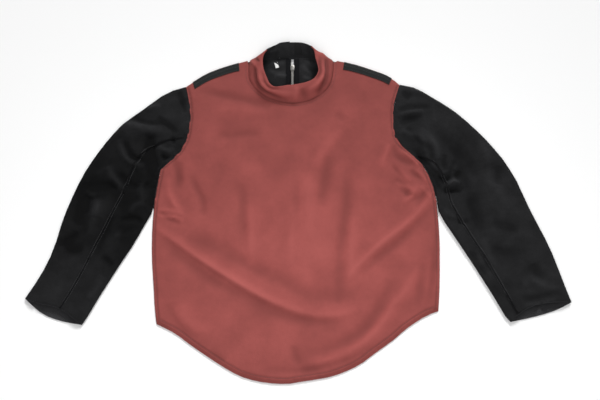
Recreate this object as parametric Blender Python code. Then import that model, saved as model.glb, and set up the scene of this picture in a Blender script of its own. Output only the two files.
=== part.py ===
"""A fencing coach's jacket lying flat on its back, front side up.

The leather front lies over two cotton back panels, with a cotton sleeve spread to
each side and a standing collar that leans in over the neck. A metal zip closes the
centre back, under the front. Left and right are the viewer's, +X is to the right,
+Y points from the hem to the collar and the floor is z = 0.
The shapes are worked out in millimetres and written to the meshes in metres.
"""
import math

import bmesh
import bpy
import numpy as np

MM = 0.001

# Cloth walls and the space between pieces
LEATHER = 2.6
COTTON = 2.2
COLLAR_WALL = 3.0
TAPE = 1.0
STRIP = 1.2
GAP = 0.3

# Heights of the middle of each layer above the floor
BACK_MID = COTTON / 2
FRONT_MID = 5.4
FRONT_FOOT = 0.3
ZIP_LIFT = 1.1
ZIP_LIFT_WIDTH = 60.0
SLEEVE_MID = 6.9

# Front outline: the sides run from the hem up to the underarm, then up the armhole
HEM = (
    (-290, -264), (-252, -283), (-220, -306), (-181, -332), (-144, -355), (-112, -371),
    (-72, -381), (-26, -384.5), (4, -380.5), (34, -376), (67, -370), (103, -357),
    (130, -343), (157, -323), (194, -297), (224, -272), (262, -248), (289, -237),
)
SIDE_LEFT = (
    (-290, -264), (-296, -224), (-300, -184), (-306, -133), (-309, -85), (-309, -23),
    (-305, 27), (-299, 75),
)
SIDE_RIGHT = (
    (289, -237), (294, -184), (297, -133), (299, -85), (298, -23), (293, 27), (276, 78),
)
ARMHOLE_LEFT = (
    (-299, 75), (-263, 109), (-246, 142), (-240, 186), (-243, 229), (-252, 271),
)
ARMHOLE_RIGHT = (
    (276, 78), (243, 113), (217, 141), (211, 181), (214, 229), (228, 276),
)
SHOULDER_LEFT = ((-252, 271), (-213, 299), (-182, 314), (-146, 327))
SHOULDER_RIGHT = ((228, 276), (203, 297), (165, 313), (125, 327))

# Sleeve outlines: the outer edge runs from the shoulder to the cuff, the inner one
# from the underarm to the cuff. A cuff has a front edge and, behind it, a longer
# back edge whose inside shows.
OUTER_LEFT = (
    (-253, 271.5), (-297, 254), (-350, 211), (-386, 181), (-413, 150), (-439, 111),
    (-463, 68), (-480, 27), (-494, -14), (-505, -54), (-513, -94), (-525, -133),
    (-543, -172), (-566, -212),
)
INNER_LEFT = (
    (-302.4, 73.6), (-309, 27), (-314, -23), (-330, -55), (-349, -94), (-372, -133),
    (-394, -172), (-415, -210), (-434, -247), (-445, -265),
)
CUFF_FRONT_LEFT = (
    (-445, -265), (-463, -253), (-483, -238), (-508, -228), (-534, -223), (-566, -212),
)
CUFF_BACK_LEFT = ((-445, -265), (-481, -259), (-519, -247), (-540, -234), (-566, -212))
OUTER_RIGHT = (
    (229, 276.5), (263, 268), (309, 239), (349, 210), (379, 181), (406, 152), (428, 124),
    (448, 96), (463, 68), (477, 38), (490, -1), (506, -41), (523, -81), (537, -120),
    (548, -159), (559, -197), (566, -219),
)
INNER_RIGHT = (
    (279.6, 76.8), (297.2, 27), (302.6, -23), (320, -55), (343, -94), (366, -133),
    (388, -172), (409, -210), (428, -247), (438, -259),
)
CUFF_FRONT_RIGHT = (
    (438, -259), (457, -244), (477, -231), (503, -223), (536, -220), (566, -219),
)
CUFF_BACK_RIGHT = ((438, -259), (489, -248), (533, -235), (566, -219))

# Collar stations from the centre back round by the left: the seam where the band is
# sewn on, then the band's free edge above it
COLLAR = (
    # seam x, seam y, seam z, edge x, edge y, edge z
    (-19, 344, 3.6, -19, 378, 16),
    (-40, 344, 2.5, -38, 375.5, 17),
    (-58, 344, 1.8, -52, 369, 20),
    (-78, 343.5, 1.8, -66, 358, 26),
    (-97, 342.5, 2.8, -75, 344, 30),
    (-109.5, 337, 4.0, -79, 331, 31),
    (-112, 325, 5.0, -79, 316, 31),
    (-112.5, 308, 5.3, -76, 300, 31),
    (-110, 289, 5.4, -70, 284, 30),
    (-101, 273, 5.4, -63.5, 269, 30),
    (-88, 259, 5.4, -53, 261, 30),
    (-70, 246, 5.6, -40, 261.5, 30),
    (-42, 234.5, 6.2, -26, 264, 30),
    (-9, 230, 6.5, -8, 266, 30),
    (22, 236, 6.1, 10, 269.5, 30),
    (43, 247, 5.6, 24, 274, 30),
    (59, 259, 5.4, 34, 280, 30),
    (71, 275, 5.4, 41, 289, 30),
    (77, 293, 5.4, 45, 301, 30),
    (79.5, 311, 5.3, 43, 315, 30),
    (80, 327, 5.0, 39, 330, 30),
    (77.5, 338.5, 4.0, 37, 344, 28),
    (62, 343, 2.8, 34, 357, 25),
    (43, 344, 1.8, 26, 368, 21),
    (22, 344, 2.0, 14, 375, 18),
    (2, 344, 3.3, 1, 378, 16),
    (-19, 344, 3.6, -19, 378, 16),
)
LEATHER_FROM = 3.4
LEATHER_TO = 22.6
STATIONS = 26
OVERLAP_LEFT = 0.03
OVERLAP_RIGHT = 1.1
OVERLAP_LIFT = COLLAR_WALL + 0.6
OVERLAP_END = 1.85
OVERLAP_BEND = 0.55
COLLAR_SPANS = {"front": 34, "back_left": 14, "back_right": 16}
FASTENER_STATIONS = (24.55, 25.5)
FASTENER_ROWS = (0.22, 0.9)

# Folds of the cloth: a crest or, with a negative height, a trough along a curve.
# The two widths are on the curve's left and right sides, seen along it.
FRONT_FOLDS = (
    # height, width on the left, width on the right, points of the curve
    (7.5, 26, 11, ((-300, -52), (-239, -95), (-174, -146), (-110, -187), (-58, -214),
                   (-17, -234), (30, -250), (86, -258), (138, -254))),
    (-1.3, 14, 24, ((-262, -122), (-190, -176), (-120, -222), (-50, -254), (20, -276))),
    (-3.0, 16, 12, ((290, 6), (232, -62), (176, -104), (134, -143), (100, -170))),
    (6.0, 12, 22, ((284, -42), (240, -84), (196, -118), (158, -152), (128, -180))),
    (4.5, 18, 10, ((262, -140), (233, -178), (200, -222), (168, -262), (126, -292),
                   (64, -322))),
    (3.0, 14, 9, ((286, -196), (262, -222), (222, -252), (184, -280), (150, -306))),
    (2.2, 13, 13, ((-118, 90), (-115, 30), (-114, -40), (-112, -120))),
    (2.6, 15, 15, ((88, 60), (92, 0), (89, -90), (86, -200))),
    (1.8, 9, 9, ((-200, 30), (-206, 0), (-203, -46))),
    (2.4, 10, 14, ((-236, 236), (-198, 250), (-157, 246), (-119, 234), (-84, 214))),
    (2.2, 9, 9, ((-303, 40), (-276, 10), (-246, -12), (-241, -54))),
    (3.0, 9, 12, ((196, 124), (228, 80), (262, 36), (286, 4))),
    (2.4, 9, 9, ((206, 160), (228, 122), (262, 84), (284, 46))),
    (2.6, 13, 9, ((-128, 300), (-124, 262), (-98, 226), (-58, 206), (-8, 200), (40, 208),
                  (84, 236), (100, 276), (100, 308))),
    (1.6, 16, 16, ((10, 150), (14, 70), (8, -20), (-4, -110))),
    (2.0, 12, 16, ((118, 286), (156, 262), (186, 226), (196, 180))),
)
SLEEVE_FOLDS_LEFT = (
    # height, width on the left, width on the right, points of the curve
    (5.0, 12, 16, ((-250, 200), (-288, 206), (-330, 196), (-372, 176), (-400, 140))),
    (4.0, 9, 13, ((-246, 160), (-276, 172), (-310, 164), (-344, 136), (-366, 98))),
    (-3.2, 8, 8, ((-326, 150), (-322, 120), (-320, 90), (-317, 50))),
    (4.2, 12, 10, ((-300, 110), (-306, 80), (-322, 30), (-338, -20))),
    (3.6, 10, 14, ((-430, 108), (-396, 86), (-362, 62), (-330, 8))),
    (3.0, 12, 12, ((-468, 36), (-440, 30), (-404, 6), (-368, -42))),
    (2.6, 10, 10, ((-484, -20), (-456, -40), (-420, -56), (-372, -82))),
    (2.4, 9, 12, ((-500, -74), (-468, -92), (-432, -108), (-398, -138))),
    (2.2, 10, 10, ((-516, -126), (-486, -142), (-450, -152), (-420, -178))),
    (1.8, 12, 9, ((-470, -176), (-484, -200), (-492, -226))),
)
SLEEVE_FOLDS_RIGHT = (
    # height, width on the left, width on the right, points of the curve
    (4.2, 14, 11, ((232, 262), (258, 236), (284, 214), (316, 206), (352, 196))),
    (4.4, 10, 14, ((226, 190), (262, 186), (300, 166), (330, 130), (348, 86))),
    (3.8, 9, 12, ((262, 110), (290, 112), (312, 84), (322, 30), (330, -20))),
    (3.0, 12, 12, ((372, 170), (386, 130), (390, 84), (384, 40))),
    (2.6, 14, 14, ((430, 96), (440, 40), (446, -20), (458, -78))),
    (3.0, 11, 11, ((352, 24), (392, -4), (438, -24), (484, -40))),
    (2.4, 10, 10, ((372, -64), (410, -84), (456, -98), (502, -104))),
    (2.2, 10, 12, ((402, -140), (440, -152), (482, -156), (524, -160))),
    (2.0, 9, 9, ((452, -196), (476, -206), (512, -208))),
)

# The long seam between a sleeve's upper and under pieces, as a share of the width
# from the inner edge to the outer one. It shows on top, and its fellow lies below.
SEAM_TOP_LEFT = 0.43
SEAM_TOP_RIGHT = 0.17
SEAM_BELOW = 0.55

# Zip at the centre back, lifted over the slider, whose pull tab lies under it
ZIP_X = -13.0
ZIP_TOP = 342.0
ZIP_BOTTOM = -352.0
ZIP_SLOT = 6.0
ZIP_MID = 3.0
TAPE_INNER = 3.05
TAPE_OUTER = 15.0
CHAIN_HALF = 2.75
CHAIN_HEIGHT = 2.4
SLIDER_Y = 318.0
SLIDER_LENGTH = 14.0
SLIDER_WIDTH = 9.5
SLIDER_PLATE = 1.2
SLIDER_CHANNEL = 1.6
SLIDER_LIP = 0.8
POST_LENGTH = 3.0
RISE = 3.5
RISE_HALF_WIDTH = 52.0
RISE_TO_HEM = 92.0
RISE_TO_COLLAR = 62.0
HINGE_Z = 2.4
HINGE_Y = 311.0
PULL_LENGTH = 28.0
PULL_WIDTH = 6.6
PULL_THICKNESS = 1.1
PULL_TILT = math.radians(2.6)
PULL_PLATE_FROM = 6.0
PULL_ARM_WIDTH = 1.4
CROWN_HALF = 1.4
CROWN_BAR = 1.1
CROWN_LEG_IN = 1.4
CROWN_LEG_OUT = 2.6
POST_HALF = 1.2
POST_SET_BACK = 0.4
LIP_WIDTH = 1.35
LIP_BACK = 0.3
LIP_FRONT = 1.2
STOP_LENGTH = 5.7
TAPE_BENDS = (5.8, 10.0)
CHAIN_PAST_SLIDER = 2.5

# Boxes of one solid share this much, and their sides are this much apart
SHARED = 0.2
OFFSET = 0.01

# Blank label: its corners in plan, from the lower left round to the upper left
LABEL = ((-51, 319), (-43.5, 320.5), (-47, 334), (-54.5, 332.5))
LABEL_THICKNESS = 0.6

# Grids, and how the pieces meet
FRONT_COLUMNS = 32
FRONT_ROWS = 18
BACK_COLUMNS = (290, 210, 140, 90, 62, 49, 38, 28, 18, 9, 0)
BACK_ROWS = (714, 590, 480, 390, 330, 292, 264, 240, 216, 194, 172, 150, 130, 112, 97, 84,
             72, 61, 50, 40, 30, 20, 10, 0)
SLEEVE_ROWS = (0.0, 0.014, 0.05, 0.095, 0.14, 0.185, 0.23, 0.275, 0.32, 0.365, 0.41, 0.455,
               0.5, 0.55, 0.6, 0.655, 0.71, 0.77, 0.83, 0.885, 0.935, 0.972, 1.0)
FAN_SHARE = 0.34
FAN_INNER = 0.035
CAP_FADE = 0.3
CUFF_FADE = 0.16
ZIP_ROWS = (-352, -200, -50, 100, 180, 220, 232, 244, 256, 268, 280, 291, 301, 311, 320,
            329, 336, 342)
COLLAR_ROWS = (0.0, 0.05, 0.13, 0.27, 0.45, 0.65, 0.85, 1.0)
COLLAR_FLAT = 0.04
SLEEVE_WIDTH = 140.0
UPPER_TOP = 6
UPPER_BELOW = 3
UNDER_BELOW = 4
UNDER_TOP = 4
SHOULDER_STATION_LEFT = 5
SHOULDER_STATION_RIGHT = 21
NECK_GAP = 1.1
NECK_FADE = 0.03
NECK_SPREAD = 0.13
ROLL_STOP = 0.01
ROLL_FADE = 0.06
CAP_GAP = 1.3
BACK_ARM_GAP = 0.8
STRIP_ROWS = (18.5, 13.0, 7.5)
STRIP_COLUMNS = 9
STRIP_LEFT = (18.0, 131.0)
STRIP_RIGHT = (136.0, 23.0)
END_REACH = 4.0
BACK_INSET = 3.0
BACK_SHORTER = 12.0
CAP_SHARE = 0.06
CUFF_FLATTEN = 0.45
CUFF_SHARE = 0.07
SEAM_SLACK = 0.02
SEAM_PART = 0.06
COLLAR_NUDGE = 0.05

SMOOTH_STEPS = 24

# Edges of a panel, as rows of stations going in from the edge
ROLLED = (
    # plan distance when rolled, plan distance when flat, share of the full height
    (0.0, 0.0, 0.0),
    (0.0, 0.9, 0.49),
    (0.76, 1.7, 0.85),
    (2.6, 2.7, 1.0),
    (7.0, 7.0, 1.0),
    (15.0, 15.0, 1.0),
)
DROOPED = (
    # plan distance when rolled, plan distance when flat, share of the full height
    (0.0, 0.0, 0.29),
    (4.0, 4.0, 0.42),
    (10.0, 10.0, 0.86),
    (15.0, 15.0, 1.0),
)
EDGE_ZONE = 15.0
SLEEVE_FOLD = (
    # plan distance from the edge, share of the way from the lower to the upper layer
    (3.0, 0.0),
    (0.9, 0.146),
    (0.0, 0.5),
    (0.9, 0.854),
    (3.0, 1.0),
)


def clear_scene():
    for obj in list(bpy.data.objects):
        bpy.data.objects.remove(obj, do_unlink=True)


def material(name, colour, roughness, metallic=0.0):
    mat = bpy.data.materials.new(name)
    mat.use_nodes = True
    shader = mat.node_tree.nodes["Principled BSDF"]
    shader.inputs["Base Color"].default_value = (*colour, 1.0)
    shader.inputs["Roughness"].default_value = roughness
    shader.inputs["Metallic"].default_value = metallic
    return mat


def measured(points):
    """A curve: its points and the running length at each."""
    steps = np.linalg.norm(np.diff(points, axis=0), axis=1)
    return points, np.concatenate([[0], np.cumsum(steps)])


def spline(points):
    """Dense points of a smooth line through these points, equally many a stretch."""
    pts = np.asarray(points, float)
    pts = np.vstack([2 * pts[0] - pts[1], pts, 2 * pts[-1] - pts[-2]])
    t = np.linspace(0, 1, SMOOTH_STEPS, endpoint=False)[:, None]
    dense = []
    for a, b, c, d in zip(pts[:-3], pts[1:-2], pts[2:-1], pts[3:]):
        bend = 2 * a - 5 * b + 4 * c - d
        twist = -a + 3 * b - 3 * c + d
        dense.append(b + 0.5 * (t * (c - a) + t**2 * bend + t**3 * twist))
    dense.append(pts[-2][None])
    return np.vstack(dense)


def smooth(points):
    return measured(spline(points))


def joined(*curves):
    """One curve from several that follow each other and keep their corners."""
    dense = [curves[0][0]] + [points[1:] for points, _ in curves[1:]]
    return measured(np.vstack(dense))


def along(curve, share):
    """Points at these shares of a curve's length."""
    dense, length = curve
    at = np.asarray(share) * length[-1]
    return np.stack([np.interp(at, length, axis) for axis in dense.T], axis=-1)


def shifted(curve, distance):
    """The curve moved to its own right by the distance."""
    dense = curve[0]
    way = np.gradient(dense, axis=0)
    way /= np.linalg.norm(way, axis=1)[:, None]
    return measured(dense + distance * np.stack([way[:, 1], -way[:, 0]], axis=1))


def with_ends(curve, start, end):
    """The curve with its two ends moved to these points."""
    dense = curve[0].copy()
    keep = np.ones(len(dense), bool)
    keep[1:-1] = (
        np.linalg.norm(dense[1:-1] - start, axis=1) > END_REACH
    ) & (np.linalg.norm(dense[1:-1] - end, axis=1) > END_REACH)
    dense = dense[keep]
    dense[0] = start
    dense[-1] = end
    return measured(dense)


def patch(bottom, top, left, right, u_low, u_high, v):
    """Plan points of a four-sided patch.

    u_low and u_high are the shares across its bottom and top, v the share up.
    """
    low, high = along(bottom, u_low), along(top, u_high)
    near, far = along(left, v), along(right, v)
    v = v[..., None]
    u = (1 - v) * u_low[..., None] + v * u_high[..., None]
    corners = (
        (1 - u) * (1 - v) * bottom[0][0]
        + u * (1 - v) * bottom[0][-1]
        + (1 - u) * v * top[0][0]
        + u * v * top[0][-1]
    )
    return (1 - v) * low + v * high + (1 - u) * near + u * far - corners


def step(x):
    x = np.clip(x, 0, 1)
    return x * x * (3 - 2 * x)


def fold_height(x, y, folds):
    """Height of all the folds at the plan points."""
    total = np.zeros_like(x)
    for height, left, right, points in folds:
        dense, length = smooth(points)
        dense, length = dense[::3], length[::3]
        way = np.gradient(dense, axis=0)
        dx = x[..., None] - dense[:, 0]
        dy = y[..., None] - dense[:, 1]
        nearest = np.argmin(dx**2 + dy**2, axis=-1)
        dx = np.take_along_axis(dx, nearest[..., None], -1)[..., 0]
        dy = np.take_along_axis(dy, nearest[..., None], -1)[..., 0]
        side = way[nearest, 0] * dy - way[nearest, 1] * dx
        width = np.where(side > 0, left, right)
        ends = np.sin(np.pi * length[nearest] / length[-1]) ** 2
        total += height * np.sqrt(ends) * np.exp(-(dx**2 + dy**2) / width**2)
    return total


def zip_rise(x, y):
    """How far the back and its zip are lifted over the slider."""
    reach = np.where(y > SLIDER_Y, RISE_TO_COLLAR, RISE_TO_HEM)
    r2 = ((x - ZIP_X) / RISE_HALF_WIDTH) ** 2 + ((y - SLIDER_Y) / reach) ** 2
    return RISE * np.clip(1 - r2, 0, 1) ** 2


def front_height(x, y):
    """Height of the middle of the leather front, away from its edges."""
    over_zip = ZIP_LIFT * np.exp(-(((x - ZIP_X) / ZIP_LIFT_WIDTH) ** 2))
    return FRONT_MID + over_zip + fold_height(x, y, FRONT_FOLDS)


def edged(count, low_edge, high_edge):
    """Stations across a panel, near both edges and, in equal steps, between them.

    Each is (end, rolled distance, flat distance, level, share), where end is -1 near
    the start, +1 near the finish and 0 between.
    """
    rows = [(-1, *edge, 0.0) for edge in low_edge]
    rows += [(0, 0.0, 0.0, 1.0, k / count) for k in range(1, count)]
    rows += [(1, *edge, 0.0) for edge in reversed(high_edge)]
    return np.array(rows)


def placed(stations, size, rolled):
    """The stations as shares of a size, and their levels, where rolled is 0 to 1."""
    end, roll, flat, level, share = stations.T
    distance = (rolled * roll + (1 - rolled) * flat) / size
    inside = EDGE_ZONE / size + (1 - 2 * EDGE_ZONE / size) * share
    place = np.where(end < 0, distance, np.where(end > 0, 1 - distance, inside))
    return place, 1 - rolled * (1 - level)


def ring_rows(first, last):
    """Rows of the collar table from one whole station to another."""
    return [COLLAR[k % STATIONS] for k in range(first, last + 1)]


def neck_seam(first, last):
    return smooth([row[:2] for row in ring_rows(first, last)])


def front_curves():
    """The front's hem, top, left and right edges, and where its neckline lies."""
    left = joined(smooth(SIDE_LEFT), smooth(ARMHOLE_LEFT))
    right = joined(smooth(SIDE_RIGHT), smooth(ARMHOLE_RIGHT))
    neck = shifted(neck_seam(SHOULDER_STATION_LEFT, SHOULDER_STATION_RIGHT), NECK_GAP)
    near = smooth([*SHOULDER_LEFT, tuple(neck[0][0])])
    far = smooth([*SHOULDER_RIGHT, tuple(neck[0][-1])])
    top = joined(near, neck, (far[0][::-1], None))
    start = near[1][-1] / top[1][-1]
    end = 1 - far[1][-1] / top[1][-1]
    return smooth(HEM), top, left, right, start, end


def front_mid(columns, rows):
    """Middle surface of the front, at stations across and up."""
    hem, top, left, right, neck_start, neck_end = front_curves()
    height = left[1][-1]
    width = hem[1][-1]
    across, _ = placed(columns, width, 0.0)
    up, _ = placed(rows, height, 0.0)
    at_neck = step((across - neck_start) / NECK_FADE + 1)
    at_neck *= step((neck_end - across) / NECK_FADE + 1)
    u = np.zeros((len(rows), len(columns)))
    v = np.zeros_like(u)
    level = np.ones_like(u)
    for j, neck in enumerate(at_neck):
        rolled = np.where(rows[:, 0] < 0, 1.0, 1.0 - neck)
        v[:, j], level[:, j] = placed(rows, height, rolled)
    under_left = smooth(SIDE_LEFT)[1][-1] / left[1][-1]
    under_right = smooth(SIDE_RIGHT)[1][-1] / right[1][-1]
    for i, share in enumerate(up):
        below = np.where(columns[:, 0] < 0, under_left, under_right)
        rolled = step((below - ROLL_STOP - share) / ROLL_FADE)
        u[i], side_level = placed(columns, width, rolled)
        level[i] *= side_level
    pulled = np.linspace(0, 1, 201)
    u_low = np.interp(u, pulled - NECK_SPREAD * np.sin(2 * np.pi * pulled), pulled)
    u_high = (1 - v) * u_low + v * u
    u_low = u_high - NECK_SPREAD * np.sin(2 * np.pi * u_high)
    plan = patch(hem, top, left, right, u_low, u_high, v)
    x, y = plan[..., 0], plan[..., 1]
    z = FRONT_FOOT + (front_height(x, y) - FRONT_FOOT) * level
    return np.stack([x, y, z], axis=-1)


def back_grid(side):
    """Plan points of one back panel, from left to right and from the hem up."""
    left = side == "left"
    turn = 1 if left else -1
    side_table = SIDE_LEFT if left else SIDE_RIGHT
    arm_table = ARMHOLE_LEFT if left else ARMHOLE_RIGHT
    shoulder_table = SHOULDER_LEFT if left else SHOULDER_RIGHT
    centre_x = ZIP_X - turn * ZIP_SLOT
    body_side = shifted(smooth(side_table), turn * BACK_INSET)
    neck_point = COLLAR[SHOULDER_STATION_LEFT if left else SHOULDER_STATION_RIGHT][:2]
    shoulder = shifted(smooth([*shoulder_table, neck_point]), turn * BACK_INSET)
    hem = shifted(smooth(HEM), -BACK_SHORTER)[0]
    hem = hem if left else hem[::-1]
    corner = along(body_side, BACK_SHORTER / body_side[1][-1])
    keep = ((hem[:, 0] - centre_x) * turn < -END_REACH) & (
        (hem[:, 0] - corner[0]) * turn > END_REACH
    )
    hem_y = np.interp(centre_x, hem[:, 0][::turn], hem[:, 1][::turn])
    hem = measured(np.vstack([corner, hem[keep], (centre_x, hem_y)]))
    rise = body_side[0][body_side[1] > 2 * BACK_SHORTER]
    arm = shifted(smooth(arm_table), turn * BACK_ARM_GAP)
    arm = with_ends(arm, rise[-1], shoulder[0][0])
    edge = joined(measured(np.vstack([corner, rise])), arm)
    first, last = (0, SHOULDER_STATION_LEFT) if left else (SHOULDER_STATION_RIGHT, STATIONS)
    neck = shifted(neck_seam(first, last), -NECK_GAP)[0]
    neck = neck[::-1] if left else neck
    keep = ((neck[:, 0] - centre_x) * turn < -END_REACH) & (
        np.arange(len(neck)) > SMOOTH_STEPS // 2
    )
    neck_y = np.interp(centre_x, neck[:, 0][::turn], neck[:, 1][::turn])
    top = np.vstack([shoulder[0], neck[keep], (centre_x, neck_y)])
    top = measured(top)
    centre = measured(np.array([hem[0][-1], top[0][-1]]))
    u = 1 - np.array(BACK_COLUMNS) / BACK_COLUMNS[0]
    v = 1 - np.array(BACK_ROWS) / BACK_ROWS[0]
    u, v = np.meshgrid(u, v)
    grid = patch(hem, top, edge, centre, u, u, v)
    return grid if left else grid[:, ::-1]


def lifted(plan, low, high):
    """Two grids at these heights over the plan points, lifted over the slider."""
    rise = zip_rise(plan[..., 0], plan[..., 1])
    return [np.dstack([plan, rise + height]) for height in (low, high)]


def sleeve_curves(side):
    """The sleeve's inner and outer edges, its cap, and its cuff before and behind."""
    left = side == "left"
    inner = smooth(INNER_LEFT if left else INNER_RIGHT)
    outer = smooth(OUTER_LEFT if left else OUTER_RIGHT)
    armhole = smooth(ARMHOLE_LEFT if left else ARMHOLE_RIGHT)
    cap = shifted(armhole, -CAP_GAP if left else CAP_GAP)
    cap = with_ends(cap, inner[0][0], outer[0][0])
    front = smooth(CUFF_FRONT_LEFT if left else CUFF_FRONT_RIGHT)
    back = smooth(CUFF_BACK_LEFT if left else CUFF_BACK_RIGHT)
    return inner, outer, cap, front, back


def sleeve_stations(start, end, upper):
    """Stations round a sleeve piece as (distance from inner, from outer, share, level).

    The upper piece goes from its seam on top round the outer edge and below; the
    under piece goes from the seam below round the inner edge and on top.
    """
    rows = []
    if upper:
        top = np.linspace(start, 1, UPPER_TOP + 1)[:-1]
        rows += [(-1, -1, share, 1.0) for share in top]
        rows += [(-1, d, 0, level) for d, level in reversed(SLEEVE_FOLD)]
        below = np.linspace(1, end, UPPER_BELOW + 1)[1:]
        rows += [(-1, -1, share, 0.0) for share in below]
    else:
        below = np.linspace(start, 0, UNDER_BELOW + 1)[:-1]
        rows += [(-1, -1, share, 0.0) for share in below]
        rows += [(d, -1, 0, level) for d, level in SLEEVE_FOLD]
        top = np.linspace(0, end, UNDER_TOP + 1)[1:]
        rows += [(-1, -1, share, 1.0) for share in top]
    return np.array(rows)


def sleeve_plan(curves, cuff, u, t):
    """Plan points of one sleeve layer at the shares u across and t along the arm.

    The first rows turn like a fan about the underarm, and the rest cross the arm.
    """
    inner, outer, cap = curves[:3]
    late = (t - FAN_SHARE) / (1 - FAN_SHARE)
    inner_share = np.where(
        late < 0, FAN_INNER * t / FAN_SHARE, FAN_INNER + (1 - FAN_INNER) * late
    )
    near, far = along(inner, inner_share), along(outer, t)
    u = u[..., None]
    plan = near + (far - near) * u
    for curve, weight in (
        (cap, np.clip(1 - t / CAP_FADE, 0, 1) ** 2),
        (cuff, np.clip(1 - (1 - t) / CUFF_FADE, 0, 1) ** 2),
    ):
        chord = curve[0][0] + (curve[0][-1] - curve[0][0]) * u
        plan = plan + (along(curve, u[..., 0]) - chord) * weight[..., None]
    return plan


def sleeve_mid(side, stations, rows):
    """Middle surface of a sleeve piece: rows along the arm, stations round it."""
    curves = sleeve_curves(side)
    inner, outer, _, cuff_front, cuff_back = curves
    t = np.repeat(rows[:, None], len(stations), axis=1)
    near, far, share, level = (stations[:, k][None, :] for k in range(4))
    u = np.where(near >= 0, near / SLEEVE_WIDTH, share)
    u = np.where(far >= 0, 1 - far / SLEEVE_WIDTH, u)
    u = np.broadcast_to(u, t.shape)
    level = np.broadcast_to(level, t.shape)
    on_top = sleeve_plan(curves, cuff_front, u, t)
    below = sleeve_plan(curves, cuff_back, u, t)
    plan = below + (on_top - below) * level[..., None]
    x, y = plan[..., 0], plan[..., 1]
    folds = SLEEVE_FOLDS_LEFT if side == "left" else SLEEVE_FOLDS_RIGHT
    puff = (SLEEVE_MID - FRONT_MID) * step(t / CAP_SHARE)
    cuff = 1 - CUFF_FLATTEN * step((t - 1) / CUFF_SHARE + 1)
    height = FRONT_MID + (puff + fold_height(x, y, folds)) * cuff
    z = BACK_MID + (height - BACK_MID) * level
    grid = np.stack([x, y, z], axis=-1)
    return grid if side == "left" else grid[:, ::-1]


def collar_mid(stations, rows):
    """Middle surface of the collar band: rows up the band, stations round it."""
    seam = spline([row[:3] for row in ring_rows(0, STATIONS + 2)])
    edge = spline([row[3:] for row in ring_rows(0, STATIONS + 2)])
    at = np.asarray(stations) * SMOOTH_STEPS
    index = np.arange(len(seam))
    low = np.stack([np.interp(at, index, axis) for axis in seam.T], axis=-1)
    high = np.stack([np.interp(at, index, axis) for axis in edge.T], axis=-1)
    s = np.asarray(rows)[:, None]
    grid = low + (high - low) * s[..., None]
    rise = np.sin(np.pi / 2 * np.clip((s - COLLAR_FLAT) / (1 - COLLAR_FLAT), 0, 1))
    grid[..., 2] = low[:, 2] + (high[:, 2] - low[:, 2]) * rise
    return grid


def collar_band(stations, rows):
    """The collar's middle surface and its outward normals."""
    stations = np.asarray(stations, float)
    before = collar_mid(np.clip(stations - COLLAR_NUDGE, 0, None), rows)
    after = collar_mid(stations + COLLAR_NUDGE, rows)
    mid = collar_mid(stations, rows)
    normal = np.cross(after - before, np.gradient(mid, axis=0))
    return mid, normal / np.linalg.norm(normal, axis=-1)[..., None]


def normals(grid):
    """Unit normals of a grid of points, from its two directions."""
    normal = np.cross(np.gradient(grid, axis=1), np.gradient(grid, axis=0))
    return normal / np.linalg.norm(normal, axis=-1)[..., None]


def mesh_object(name, points, faces, mat):
    mesh = bpy.data.meshes.new(name)
    mesh.from_pydata([tuple(map(float, p)) for p in points], [], faces)
    mesh.validate()
    mesh.materials.append(mat)
    mesh.shade_smooth()
    mesh.set_sharp_from_angle(angle=math.radians(40))
    obj = bpy.data.objects.new(name, mesh)
    bpy.context.scene.collection.objects.link(obj)
    return obj


def wall(name, lower, upper, mat):
    """A closed wall between two grids of points, the upper on its outer side."""
    rows, cols = lower.shape[:2]
    points = np.concatenate([lower.reshape(-1, 3), upper.reshape(-1, 3)]) * MM
    shift = rows * cols
    index = np.arange(shift).reshape(rows, cols)
    quads = np.stack(
        [index[:-1, :-1], index[:-1, 1:], index[1:, 1:], index[1:, :-1]], axis=-1
    ).reshape(-1, 4)
    faces = [tuple(quad + shift) for quad in quads]
    faces += [tuple(quad[::-1]) for quad in quads]
    rim = np.concatenate(
        [index[0], index[1:, -1], index[-1, -2::-1], index[-2:0:-1, 0]]
    )
    for a, b in zip(rim, np.roll(rim, -1)):
        faces.append((a, b, shift + b, shift + a))
    return mesh_object(name, points, faces, mat)


def cloth(name, mid, thickness, mat):
    """A cloth wall of this thickness about its middle surface."""
    out = normals(mid) * (thickness / 2)
    return wall(name, mid - out, mid + out, mat)


def on_face(name, mid, below, thickness, mat):
    """A layer that lies on a wall: its points moved out past half the wall."""
    out = normals(mid)
    wall(name, mid + out * below, mid + out * (below + thickness), mat)


def box_mesh(x0, x1, y0, y1, z0, z1):
    """A bmesh of one box between these corners."""
    bm = bmesh.new()
    bmesh.ops.create_cube(bm, size=1.0)
    for vert in bm.verts:
        vert.co.x = (x0 if vert.co.x < 0 else x1) * MM
        vert.co.y = (y0 if vert.co.y < 0 else y1) * MM
        vert.co.z = (z0 if vert.co.z < 0 else z1) * MM
    return bm


def box(name, mat, *corners):
    mesh = bpy.data.meshes.new(name)
    bm = box_mesh(*corners)
    bm.to_mesh(mesh)
    bm.free()
    mesh.materials.append(mat)
    obj = bpy.data.objects.new(name, mesh)
    bpy.context.scene.collection.objects.link(obj)
    return obj


def fused(name, mat, boxes):
    """One solid from boxes that share a little of each other."""
    whole = box(name, mat, *boxes[0])
    for corners in boxes[1:]:
        other = box(name + ".part", mat, *corners)
        union = whole.modifiers.new("join", "BOOLEAN")
        union.operation = "UNION"
        union.object = other
        bpy.context.view_layer.update()
        graph = bpy.context.evaluated_depsgraph_get()
        mesh = bpy.data.meshes.new_from_object(whole.evaluated_get(graph))
        whole.modifiers.clear()
        whole.data = mesh
        bpy.data.objects.remove(other, do_unlink=True)
    whole.data.name = name
    return whole


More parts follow.
